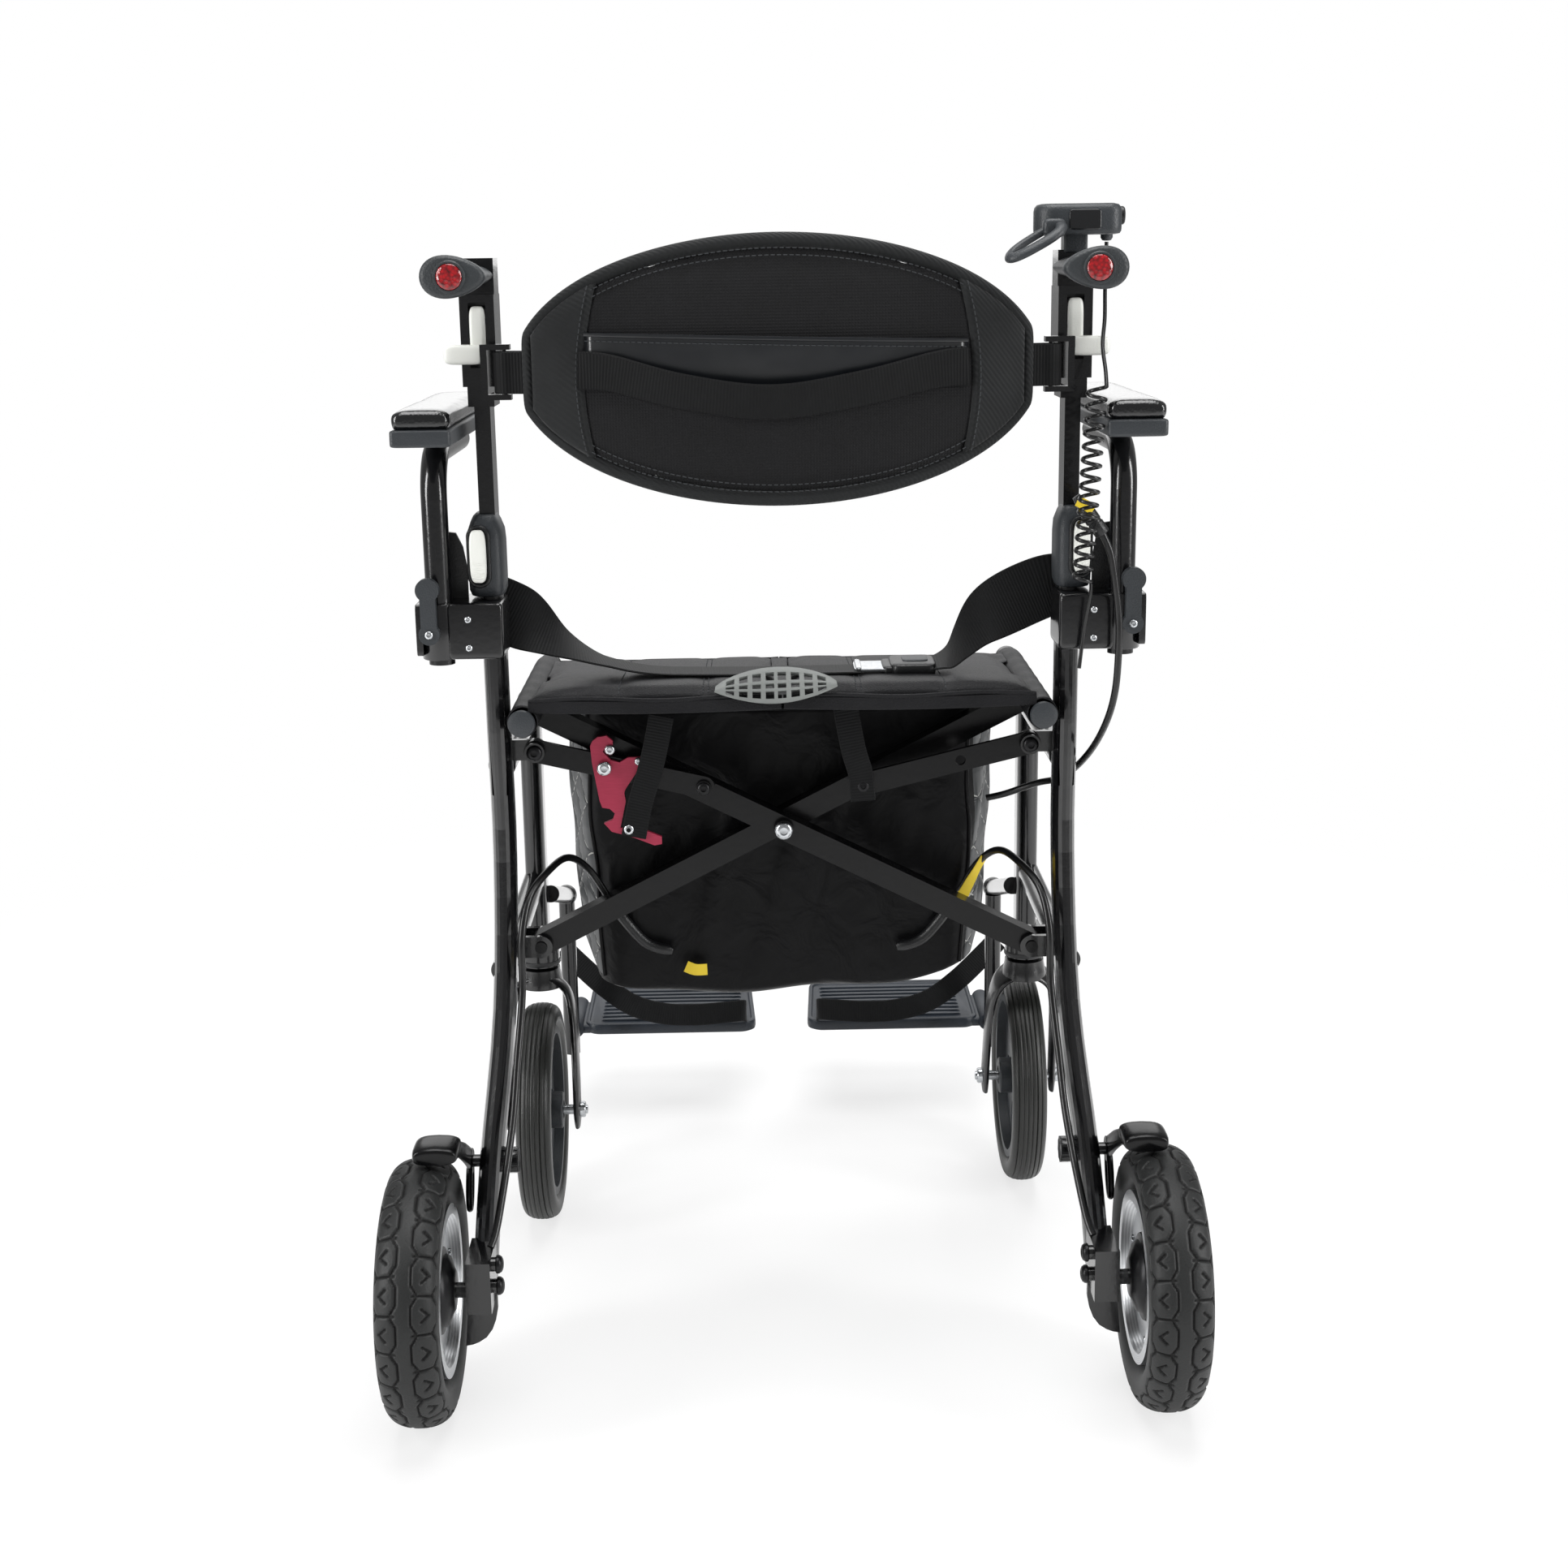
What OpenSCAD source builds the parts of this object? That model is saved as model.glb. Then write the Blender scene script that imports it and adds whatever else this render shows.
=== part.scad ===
// Folding rollator transport chair with powered rear wheels, seen with its back to -Y.
// X runs across the chair, +Y is forward and +Z is up.

/* [Rear wheels] */
// Outer diameter of a rear wheel
rear_d = 203.2; // [190:0.1:215]
// Width of a rear tyre
rear_tyre_w = 50; // [44:0.5:54]
// Distance between the rear wheels' middle planes
rear_track = 568; // [562:1:590]
// Diameter of the motor rim that carries a rear tyre
rear_rim_d = 132; // [110:1:140]
// Diameter of the fixed rear axles
rear_axle_d = 12; // [8:0.5:16]

/* [Casters] */
// Outer diameter of a caster wheel
caster_d = 200; // [180:1:204]
// Width of a caster tyre
caster_tyre_w = 32; // [26:0.5:34]
// Diameter of the rim that carries a caster tyre
caster_rim_d = 156; // [140:1:164]
// Distance from the rear axle to the caster pivots
wheelbase = 396; // [390:1:410]
// Distance between the caster pivots
caster_track = 452; // [450:1:456]
// Distance from a caster pivot to its wheel's axle
caster_trail = 33; // [28:1:36]
// Diameter of a caster axle
caster_axle_d = 10; // [8:0.5:12]
// Diameter of a caster stem
stem_d = 12; // [10:0.5:14]

/* [Side frames] */
// Distance between the middle planes of the uprights
frame_w = 450; // [448:0.5:456]
// Width of the oval main tube across the chair
tube_w = 19; // [17:0.5:20]
// Depth of the oval main tube along the chair
tube_d = 38; // [34:0.5:40]
// Distance of the uprights ahead of the rear axle
upright_y = 155; // [152:0.5:155]
// Height of the top of the uprights
upright_top = 620; // [616:0.5:630]
// Diameter of the upper side rails
upper_rail_d = 22; // [18:0.5:22]
// Height of the upper side rails
upper_rail_z = 476; // [470:1:482]
// Diameter of the lower side rails
lower_rail_d = 20; // [16:0.5:22]

/* [Cross brace] */
// Distance between the two low hinges of the brace
hinge_span = 406; // [400:0.5:407]
// Height of the low hinges
low_hinge_z = 315; // [305:1:325]
// Height of the seat tubes' axes
seat_tube_z = 521; // [515:0.5:530]
// Diameter of the seat tubes
seat_tube_d = 20; // [16:0.5:20.5]
// Length of the seat tubes
seat_tube_len = 250; // [235:1:270]
// Height of a brace bar's section
bar_h = 19; // [17:0.5:24]
// Thickness of a brace bar along the chair
bar_t = 20; // [16:0.5:20]
// Diameter of the hinge pins of the brace
hinge_pin_d = 10; // [8:0.5:12]
// Diameter of the bolt at the middle of the brace
pivot_pin_d = 12; // [10:0.5:14]
// Thickness of a brace link
link_t = 5; // [4:0.5:6]
// Width of a brace link
link_w = 18; // [14:0.5:20]

/* [Seat] */
// Depth of the seat cushion
seat_depth = 228; // [200:1:236]
// Thickness of the cushion at its edges
seat_edge_t = 8; // [6:0.5:10]
// Rise of the cushion's crown above its edges
seat_crown = 5; // [2:0.5:7]
// Distance from each half of the seat to the middle plane
seat_gap = 18; // [18:0.5:22]
// Length of the carry grip on the seat
carry_len = 101; // [80:1:110]

/* [Backrest] */
// Height of the backrest pad
back_h = 196; // [170:1:200]
// Height of the middle of the backrest
back_z = 790; // [780:1:800]
// Half of the width of the backrest pad
back_half_w = 183; // [170:0.5:184]
// Thickness of the backrest pad at its middle
back_t = 20; // [14:0.5:20]
// Depth of the backrest's bow
back_bow = 35; // [30:0.5:40]

/* [Handles] */
// Height of the middle of the grips
grip_z = 860; // [855:1:870]
// Length of a grip
grip_len = 115; // [100:1:120]
// Width of a grip's end
grip_w = 46; // [40:0.5:48]
// Height of a grip's end
grip_h = 31; // [28:0.5:34]
// Thickness of a handle post across the chair
post_t = 12; // [9:0.5:13]
// Depth of a handle post along the chair
post_d = 28; // [22:0.5:30]
// Travel of the handle posts down from rest
post_travel = 12; // [5:1:60]

/* [Armrests] */
// Diameter of an armrest tube
arm_tube_d = 20; // [16:0.5:21]
// Distance between the armrest tubes
arm_span = 526; // [522:1:530]
// Distance of the armrest tubes ahead of the rear axle
arm_y = 126; // [124:0.5:128]
// Height of the top of the armrest pads
pad_top = 766; // [760:1:772]
// Thickness of an armrest pad
pad_t = 27; // [22:0.5:30]
// Width of an armrest pad
pad_w = 45; // [38:0.5:48]
// Length of an armrest pad
pad_len = 230; // [200:1:240]

/* [Footplates] */
// Length of a footplate along the chair
foot_len = 125; // [100:1:130]
// Thickness of a footplate
foot_t = 12; // [9:0.5:14]
// Height of the top of the footplates
foot_z = 100; // [90:1:128]
// Diameter of the footplates' hinge pins
foot_pin_d = 10; // [8:0.5:11]

/* [Bag and belts] */
// Height of the bottom of the bag under the seat
bag_z = 258; // [250:1:270]
// Half of the bag's width at the back
bag_half_w = 168; // [150:1:175]
// Depth of the bag
bag_depth = 140; // [120:1:142]
// Thickness of the bag's cloth walls
bag_wall = 3; // [2:0.5:5]
// Width of the lap belt's webbing
belt_w = 50; // [40:1:52]
// Width of the pull straps' webbing
strap_w = 20; // [15:1:25]
// Thickness of the webbing
web_t = 1.6; // [1.2:0.1:2]

/* [Cords] */
// Diameter of the curly cord's wire
curl_wire_d = 3; // [2.4:0.1:3.4]
// Outer diameter of the curly cord's curls
curl_d = 16.5; // [14:0.5:18]
// Number of curls
curl_count = 15; // [12:1:18]
// Diameter of the power cable
cable_d = 5.5; // [4:0.5:6]
// Diameter of the motor leads
lead_d = 6; // [4:0.5:7]

/* [Hidden] */

// Running gap of a pin in its bore, on the radius
run = 0.05;
// Gap between neighbours that move past each other
gap = 0.5;
// Facets of a full circle
round_n = 48;

// Middle of the chair's length, from the rear axle
foot_y0 = wheelbase + 195;
y_mid = (foot_y0 + foot_len - rear_d / 2) / 2;

// Frame planes on the +X side
frame_x = frame_w / 2;
frame_in = frame_x - tube_w / 2;
frame_out = frame_x + tube_w / 2;
front_x = caster_track / 2;
hinge_x = hinge_span / 2;
lower_rail_x = hinge_x + lower_rail_d / 2 + 15;
rear_x = rear_track / 2;
axle_z = rear_d / 2;
leg_foot_x = rear_x - rear_tyre_w / 2 - tube_w / 2 - 8.5;
brake_rise = 72;

// Brace geometry: the bars cross halfway
brace_rise = (seat_tube_z - low_hinge_z) / hinge_span;
brace_angle = atan(brace_rise);
bar_len = sqrt(pow(hinge_span, 2) + pow(seat_tube_z - low_hinge_z, 2));
pivot_z = (low_hinge_z + seat_tube_z) / 2;
bar_b_y = upright_y + tube_d / 2 + gap;
bar_a_y = bar_b_y + bar_t + 1;
seat_tube_y = bar_b_y - 56.5;
ear_t = 5;

// Links of the brace
link_y = upright_y + 5;
link_u = [frame_x - 27, pivot_z + 71];
link_p = [64, pivot_z + 39];
link_len = norm(link_u - link_p);
link_tilt = atan2(link_p[1] - link_u[1], link_u[0] - link_p[0]);
link_pin_d = 10;
latch_at = 57;
latch_pin_d = 8;
latch_t = 4;

// Clamp, sleeve and handle places
clamp_h = 60;
clamp_in = frame_in - 0.5;
clamp_w = 26;
clamp_d = tube_d + 4;
lever_t = 12;
lever_pin_d = 6;
sleeve_h = 44;
sleeve_z = upright_top - 48;
arm_x = arm_span / 2;
housing_z = grip_z - 82;
housing_h = 68;
housing_w = 26;
housing_d = 40;
back_hinge_x = hinge_x;
back_hinge_y = seat_tube_y - 13;
back_pin_d = 4;
grip_y = upright_y - housing_d / 2;
foot_pin_x = caster_track / 2 - 12;
foot_pin_z = foot_z - foot_t / 2;
bag_y = bar_a_y + bar_t + 10;

// Helpers for swept solids
function unit(v) = v / norm(v);
function heading(pts, i) = unit(pts[min(i + 1, len(pts) - 1)] - pts[max(i - 1, 0)]);
function blend_at(a, b, c, d, t) =
    0.5 * (2 * b + (c - a) * t + (2 * a - 5 * b + 4 * c - d) * t * t + (3 * b - a - 3 * c + d) * t * t * t);
function smooth(pts, n) = [
    for (i = [0 : len(pts) - 2], k = [0 : n - 1])
        blend_at(pts[max(i - 1, 0)], pts[i], pts[i + 1], pts[min(i + 2, len(pts) - 1)], k / n),
    pts[len(pts) - 1]
];
function side_dirs(pts, u, i = 0) =
    i == len(pts) ? [] :
    let (t = heading(pts, i), s = unit(u - (u * t) * t)) concat([s], side_dirs(pts, s, i + 1));
function oval_ring(p, u, v, ru, rv, n) = [
    for (j = [0 : n - 1]) p + ru * cos(360 * j / n) * u + rv * sin(360 * j / n) * v
];
function tube_rings(pts, u0, ru, rv, n) =
    let (us = side_dirs(pts, u0))
    [for (i = [0 : len(pts) - 1]) oval_ring(pts[i], us[i], cross(heading(pts, i), us[i]), ru, rv, n)];

// Closed solid through a list of rings
module skin(rings) {
    n = len(rings);
    m = len(rings[0]);
    sides = [
        for (i = [0 : n - 2], j = [0 : m - 1])
            let (a = i * m + j, b = i * m + (j + 1) % m)
            each [[a, a + m, b], [b, a + m, b + m]]
    ];
    ends = [
        for (j = [1 : m - 2])
            each [[0, j, j + 1], [(n - 1) * m, (n - 1) * m + j + 1, (n - 1) * m + j]]
    ];
    polyhedron([for (r = rings) each r], concat(sides, ends));
}

module cord(pts, d, u0, sides) {
    skin(tube_rings(pts, u0, d / 2, d / 2, sides));
}

// Flat webbing along points, with its width along one direction at every point
module webbing(pts, across, w) {
    skin([
        for (i = [0 : len(pts) - 1])
            let (
                p = pts[i],
                t = heading(pts, i),
                side = unit(across - (across * t) * t),
                u = side * w / 2,
                v = cross(t, side) * web_t / 2
            )
            [p + u + v, p - u + v, p - u - v, p + u - v]
    ]);
}

module place() {
    translate([0, -y_mid, 0]) children();
}

// The +X shape for side 1 and its mirror image for side -1
module on_side(s) {
    place() mirror([s < 0 ? 1 : 0, 0, 0]) children();
}

module rod_x(d, x0, x1) {
    translate([x0, 0, 0]) rotate([0, 90, 0]) cylinder(d = d, h = x1 - x0, $fn = round_n);
}

module rod_y(d, y0, y1) {
    translate([0, y1, 0]) rotate([90, 0, 0]) cylinder(d = d, h = y1 - y0, $fn = round_n);
}

module block(x, y, z) {
    translate([x[0], y[0], z[0]]) cube([x[1] - x[0], y[1] - y[0], z[1] - z[0]]);
}

// Side frames
module main_tube() {
    low_y = 34;
    route = smooth([
        [frame_x, upright_y, upright_top],
        [frame_x, upright_y, upright_top - 110],
        [frame_x, upright_y, upright_top - 218],
        [frame_x + 3, upright_y - 26, low_hinge_z - 33],
        [leg_foot_x - 4, 72, axle_z + 72],
        [leg_foot_x, low_y, axle_z - 8]
    ], 4);
    color("#141416") difference() {
        skin(tube_rings(route, [1, 0, 0], tube_w / 2, tube_d / 2, 20));
        block(
            [frame_x - post_t / 2 - gap, frame_x + post_t / 2 + gap],
            [upright_y - post_d / 2 - gap, upright_y + post_d / 2 + gap],
            [upright_top - 150 - post_travel, upright_top + 1]
        );
    }
}

module side_frame(bar_y) {
    leg_d = 34;
    head_h = 30;
    fork_top = caster_d + 31;
    head_z = fork_top + 2;
    hanger_z = low_hinge_z - 15;
    hanger_y = foot_y0 - 39;
    hanger_d = 16;
    hanger_drop = 48;
    hanger_run = hanger_y - wheelbase;
    hanger_slope = atan(hanger_drop / hanger_run);
    brake_pin_z = axle_z + brake_rise;
    color("#141416") difference() {
        union() {
            // Front leg with its caster head
            translate([front_x, wheelbase, head_z + head_h - 1]) {
                leg_h = upper_rail_z + upper_rail_d / 2 - head_z - head_h + 2.5;
                for (k = [-1, 1])
                    translate([0, k * (leg_d - tube_w) / 2, 0]) cylinder(d = tube_w, h = leg_h, $fn = round_n);
                block([-tube_w / 2, tube_w / 2], [-(leg_d - tube_w) / 2, (leg_d - tube_w) / 2], [0, leg_h]);
            }
            translate([front_x, wheelbase, head_z]) cylinder(d = leg_d + 2, h = head_h, $fn = round_n);
            // Side rails
            translate([front_x, 0, upper_rail_z])
                rod_y(upper_rail_d, upright_y + tube_d / 2 - 3.5, wheelbase);
            translate([lower_rail_x, 0, low_hinge_z]) rod_y(lower_rail_d, upright_y - 22, wheelbase);
            // Ears of the low hinge
            for (y = [bar_y - gap - ear_t, bar_y + bar_t + gap])
                translate([hinge_x, y, low_hinge_z]) {
                    rod_y(hinge_pin_d + 9, 0, ear_t);
                    block([0, lower_rail_x - hinge_x], [0, ear_t], [-9, 9]);
                }
            // Lug and bolt of the brace link
            translate([link_u[0], 0, link_u[1]]) {
                rod_y(link_w, link_y + link_t + gap, link_y + link_t + gap + 5);
                block([0, frame_in - link_u[0] + 2], [link_y + link_t + gap, link_y + link_t + gap + 5],
                    [0.6 - link_w / 2, link_w / 2 - 0.6]);
                rod_y(link_pin_d, link_y - 4, link_y + link_t + 1);
                rod_y(link_pin_d + 6, link_y - 6, link_y - gap);
            }
            // Rear axle, its plate and the tipping tab
            translate([0, 0, axle_z]) rod_x(rear_axle_d, leg_foot_x - 6, rear_x + 21);
            block([leg_foot_x - tube_w / 2, leg_foot_x + tube_w / 2], [-10, 36], [axle_z - 16, axle_z + 26]);
            translate([leg_foot_x, 20, axle_z]) rotate([90, 0, 0]) linear_extrude(4) polygon([
                [-9, 0], [-11, -12], [-11, -24], [-9, -34], [-6, -42], [-1, -49], [5, -53], [10, -55],
                [15.5, -56], [13, -30], [11, 0]
            ]);
            for (z = [axle_z + 2, axle_z + 20])
                translate([0, 2, z]) rod_x(11, leg_foot_x - tube_w / 2 - 4, leg_foot_x - 4);
            // Brake pivot with its knob inside the leg
            translate([0, 80, brake_pin_z]) {
                rod_x(10, leg_foot_x - 12, rear_x - rear_tyre_w / 2 - 1.2);
                rod_x(20, leg_foot_x - 24, leg_foot_x - 10);
            }
            // Footplate hanger
            translate([foot_pin_x, 0, 0]) {
                translate([0, wheelbase, hanger_z]) rotate([-90 - hanger_slope, 0, 0])
                    cylinder(d = hanger_d, h = hanger_run / cos(hanger_slope), $fn = round_n);
                translate([0, hanger_y, hanger_z - hanger_drop]) rotate([0, 90, 0])
                    sphere(d = hanger_d + 5, $fn = round_n);
                translate([0, hanger_y, foot_pin_z - 9])
                    cylinder(d = hanger_d, h = hanger_z - hanger_drop - foot_pin_z + 9, $fn = round_n);
                translate([0, 0, foot_pin_z]) rod_y(foot_pin_d, hanger_y, foot_y0 + 88);
            }
        }
        // Bores of the caster stem and of the low hinge
        translate([front_x, wheelbase, head_z - 1]) cylinder(d = stem_d + 2 * run, h = head_h - 4, $fn = round_n);
        translate([hinge_x, 0, low_hinge_z])
            rod_y(hinge_pin_d + 2 * run, bar_y - gap - ear_t - 1, bar_y + bar_t + gap + ear_t + 1);
    }
}

module left_main_tube() {
    on_side(-1) main_tube();
}

module right_main_tube() {
    on_side(1) main_tube();
}

module left_side_frame() {
    on_side(-1) side_frame(bar_a_y);
}

module right_side_frame() {
    on_side(1) side_frame(bar_b_y);
}

// Post clamp with the armrest sleeve
module post_clamp() {
    x1 = clamp_in + clamp_w;
    y0 = upright_y - clamp_d / 2;
    color("#4a4e52") difference() {
        union() {
            block([clamp_in, x1], [y0, y0 + clamp_d], [upright_top, upright_top + clamp_h]);
            // Ears of the clamp lever
            for (x = [clamp_in, x1 - 4])
                block([x, x + 4], [y0 - 9, y0 + 1], [upright_top + clamp_h - 14, upright_top + clamp_h]);
            // Sleeve of the armrest tube, on the upright's outer face
            translate([arm_x, arm_y, sleeve_z]) cylinder(d = arm_tube_d + 9, h = sleeve_h, $fn = round_n);
            block([frame_out, arm_x], [arm_y - 10, upright_y + 12], [sleeve_z, sleeve_z + sleeve_h]);
            block([arm_x + arm_tube_d / 2 + 2, arm_x + arm_tube_d / 2 + 7], [arm_y - 14, arm_y + 14],
                [sleeve_z + 4, sleeve_z + sleeve_h]);
            for (z = [sleeve_z + 10, sleeve_z + 32])
                translate([frame_out + 8, 0, z]) rod_y(10, arm_y - 14, arm_y - 8);
            // Pin of the cam lever
            translate([arm_x + 6, 0, sleeve_z + 22]) rod_y(6, arm_y - arm_tube_d / 2 - 13, arm_y - arm_tube_d / 2 - 2);
        }
        block([frame_x - post_t / 2 - gap, frame_x + post_t / 2 + gap],
            [upright_y - post_d / 2 - gap, upright_y + post_d / 2 + gap],
            [upright_top - 1, upright_top + clamp_h + 1]);
        translate([arm_x, arm_y, sleeve_z - 1])
            cylinder(d = arm_tube_d + 0.4, h = sleeve_h + 2, $fn = round_n);
        translate([0, y0 - 4.5, upright_top + clamp_h - 7])
            rod_x(lever_pin_d + 2 * run, clamp_in - 1, x1 + 1);
    }
}

module left_post_clamp() {
    on_side(-1) post_clamp();
}

module right_post_clamp() {
    on_side(1) post_clamp();
}

module clamp_lever() {
    x1 = clamp_in + clamp_w;
    y0 = upright_y - clamp_d / 2;
    z1 = upright_top + clamp_h - 7;
    color("#d8d8d0") {
        translate([0, y0 - 4.5, z1]) rod_x(lever_pin_d, clamp_in, x1);
        translate([0, y0 - 4.5, z1]) rod_x(8, clamp_in + 4 + gap, x1 - 4 - gap);
        block([clamp_in + 4 + gap, x1 - 4 - gap], [y0 - 8.5, y0 - gap], [z1 - 20, z1]);
        block([clamp_in, x1], [y0 - lever_t, y0 - gap - 1], [upright_top + 4, z1 - 8.5]);
    }
}

module left_clamp_lever() {
    on_side(-1) clamp_lever();
}

module right_clamp_lever() {
    on_side(1) clamp_lever();
}

// Armrests
module armrest() {
    base_z = pad_top - pad_t;
    rail_z = base_z - arm_tube_d / 2;
    bend_r = 34;
    color("#1b1b1e") {
        translate([arm_x, arm_y, sleeve_z - 4])
            cylinder(d = arm_tube_d, h = rail_z - bend_r - sleeve_z + 4, $fn = round_n);
        translate([arm_x, arm_y + bend_r, rail_z - bend_r]) rotate([90, 0, 90]) rotate([0, 0, 90])
            rotate_extrude(angle = 90, $fn = round_n) translate([bend_r, 0]) circle(d = arm_tube_d, $fn = 32);
        translate([arm_x, 0, rail_z]) rod_y(arm_tube_d, arm_y + bend_r, arm_y + 150);
    }
}

module left_armrest() {
    on_side(-1) armrest();
}

module right_armrest() {
    on_side(1) armrest();
}

// Outline of an armrest pad with a rounded section, tapering at its ends
module armrest_pad() {
    pad_x = arm_x - 1.5;
    y0 = arm_y - 66;
    n = 10;
    color("#202022") skin([
        for (i = [0 : n])
            let (
                t = i / n,
                s = pow(1 - pow(abs(2 * t - 1), 6), 1 / 3),
                w = pad_w / 2 * (0.55 + 0.45 * s)
            )
            [
                for (j = [0 : 23])
                    let (a = 360 * j / 24, c = cos(a), q = sin(a))
                    [
                        pad_x + w * sign(c) * pow(abs(c), 0.45),
                        y0 + t * pad_len,
                        pad_top - pad_t / 2 - pad_t / 2 * sign(q) * pow(abs(q), 0.45) * (q > 0 ? 1 : 0.5 + 0.5 * s)
                    ]
            ]
    ]);
}

module left_armrest_pad() {
    on_side(-1) armrest_pad();
}

module right_armrest_pad() {
    on_side(1) armrest_pad();
}

module cam_lever() {
    y1 = arm_y - arm_tube_d / 2 - 5;
    color("#4a4e52") translate([arm_x + 6, 0, sleeve_z + 22]) difference() {
        union() {
            rod_y(16, y1 - 7, y1);
            block([-6, 6], [y1 - 7, y1], [0, 34]);
            translate([0, 0, 34]) rod_y(18, y1 - 7, y1);
        }
        rod_y(6 + 2 * run, y1 - 9, y1 + 2);
    }
}

module left_cam_lever() {
    on_side(-1) cam_lever();
}

module right_cam_lever() {
    on_side(1) cam_lever();
}

// Handles
module handle_post() {
    y0 = upright_y - housing_d / 2;
    slot_w = housing_w / 2;
    color("#1c1d20") {
        difference() {
            handle_body(y0);
            // Slot of the release lever in the housing's rear
            block([frame_x - slot_w / 2, frame_x + slot_w / 2], [y0 - 22, y0 + 24],
                [housing_z + 14, housing_z + 62]);
        }
        // Pin of the release lever
        translate([0, y0 + 14, housing_z + 52]) rod_x(6, frame_x - slot_w / 2 - 3, frame_x + slot_w / 2 + 3);
    }
}

module handle_body(y0) {
    block([frame_x - post_t / 2, frame_x + post_t / 2], [upright_y - post_d / 2, upright_y + post_d / 2],
        [upright_top - 140, housing_z + 4]);
    block([frame_x - 10, frame_x + 10], [y0 + 2, y0 + housing_d - 2], [housing_z - 15, housing_z]);
    block([frame_x - housing_w / 2, frame_x + housing_w / 2], [y0, y0 + housing_d],
        [housing_z, housing_z + housing_h]);
    block([frame_x - 13, frame_x + 13], [y0 + 6, y0 + housing_d - 4],
        [housing_z + housing_h - 1, grip_z + grip_h / 2 - 3]);
    // Arm and pin of the backrest hinge, kept outside the seat tube's path
    arm_in = hinge_x + seat_tube_d / 2 + 2;
    block([arm_in, arm_in + 5], [back_hinge_y - 4, y0 + 2], [back_z - 16, back_z + 16]);
    // Bridge between the arm and the housing
    block([min(arm_in, frame_x - 4), max(arm_in + 5, frame_x + 4)], [y0 + 0.5, y0 + 7],
        [back_z - 12, back_z + 16]);
    for (z = [back_z - 20, back_z + 16.5])
        block([back_hinge_x - 5, arm_in + 5], [back_hinge_y - 5, back_hinge_y + 5], [z, z + 4]);
    translate([back_hinge_x, back_hinge_y, back_z - 18]) cylinder(d = back_pin_d, h = 36, $fn = round_n);
    for (z = [back_z - 20, back_z + 12])
        block([arm_in, arm_in + 5], [back_hinge_y - 5, back_hinge_y + 5], [z, z + 8]);
}

module left_handle_post() {
    on_side(-1) handle_post();
}

module right_handle_post() {
    on_side(1) handle_post();
}

// Teardrop section, narrow towards the middle of the chair
function grip_ring(y, k) = [
    for (j = [0 : 23])
        let (a = 360 * j / 24, c = cos(a), q = sin(a), taper = 0.78 + 0.22 * c)
        [frame_x + k * grip_w / 2 * c, y, grip_z - k * grip_h / 2 * q * taper]
];

module grip() {
    y0 = grip_y - grip_len;
    color("#26272a") skin([
        grip_ring(y0, 0.86),
        grip_ring(y0 + 4, 1),
        grip_ring(y0 + 16, 1),
        grip_ring(y0 + 26, 0.84),
        grip_ring(y0 + grip_len / 2, 0.94),
        grip_ring(grip_y - 12, 0.86),
        grip_ring(grip_y + 5.5, 0.86)
    ]);
}

module left_grip() {
    on_side(-1) grip();
}

module right_grip() {
    on_side(1) grip();
}

module reflector() {
    y0 = grip_y - grip_len;
    color("#a01018") translate([frame_x + 3, 0, grip_z]) rod_y(18, y0 - 2, y0);
}

module left_reflector() {
    on_side(-1) reflector();
}

module right_reflector() {
    on_side(1) reflector();
}

module release_lever() {
    y0 = upright_y - housing_d / 2;
    half = housing_w / 4 - gap;
    color("#d8d8d0") translate([frame_x, y0 + 14, housing_z + 52]) difference() {
        union() {
            rod_x(15, -half, half);
            block([-half, half], [-19, 4], [-32, 0]);
            block([-half, half + 19], [-21, -17], [-34, -21]);
        }
        rod_x(6 + 2 * run, -half - 1, half + 1);
    }
}

module left_release_lever() {
    on_side(-1) release_lever();
}

module right_release_lever() {
    on_side(1) release_lever();
}

// Rear wheels
module motor_rim() {
    half = rear_tyre_w / 2 - 4;
    lip = rear_rim_d / 2;
    color("#b8babd") translate([rear_x, 0, axle_z]) rotate([0, 90, 0]) difference() {
        rotate_extrude($fn = round_n * 2) polygon([
            [0, -half + 6], [19, -half + 2], [24, -half + 8], [lip - 14, -half + 8], [lip - 8, -half],
            [lip, -half], [lip, half], [lip - 8, half], [lip - 12, half - 5], [20, half - 3], [16, half + 1],
            [0, half + 1]
        ]);
        translate([0, 0, -half - 1]) cylinder(d = rear_axle_d + 2 * run, h = half + 23, $fn = round_n);
    }
}

module left_motor_rim() {
    on_side(-1) motor_rim();
}

module right_motor_rim() {
    on_side(1) motor_rim();
}

// Tyre ring round the X axis, with a crowned tread
module tyre_ring(d, inner_d, w, shoulder) {
    r = d / 2;
    rotate([0, 90, 0]) rotate_extrude($fn = round_n * 2) polygon([
        [inner_d / 2, -w / 2 + 5], [inner_d / 2 + 6, -w / 2 + 1], [(r + inner_d / 2) / 2, -w / 2],
        [r - shoulder, -w / 2 + 1], [r - shoulder / 3, -w / 2 + shoulder / 2], [r, -w / 4],
        [r, w / 4], [r - shoulder / 3, w / 2 - shoulder / 2], [r - shoulder, w / 2 - 1],
        [(r + inner_d / 2) / 2, w / 2], [inner_d / 2 + 6, w / 2 - 1], [inner_d / 2, w / 2 - 5]
    ]);
}

module rear_tyre() {
    color("#222224") translate([rear_x, 0, axle_z]) tyre_ring(rear_d, rear_rim_d, rear_tyre_w, 10);
}

module left_rear_tyre() {
    on_side(-1) rear_tyre();
}

module right_rear_tyre() {
    on_side(1) rear_tyre();
}

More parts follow.
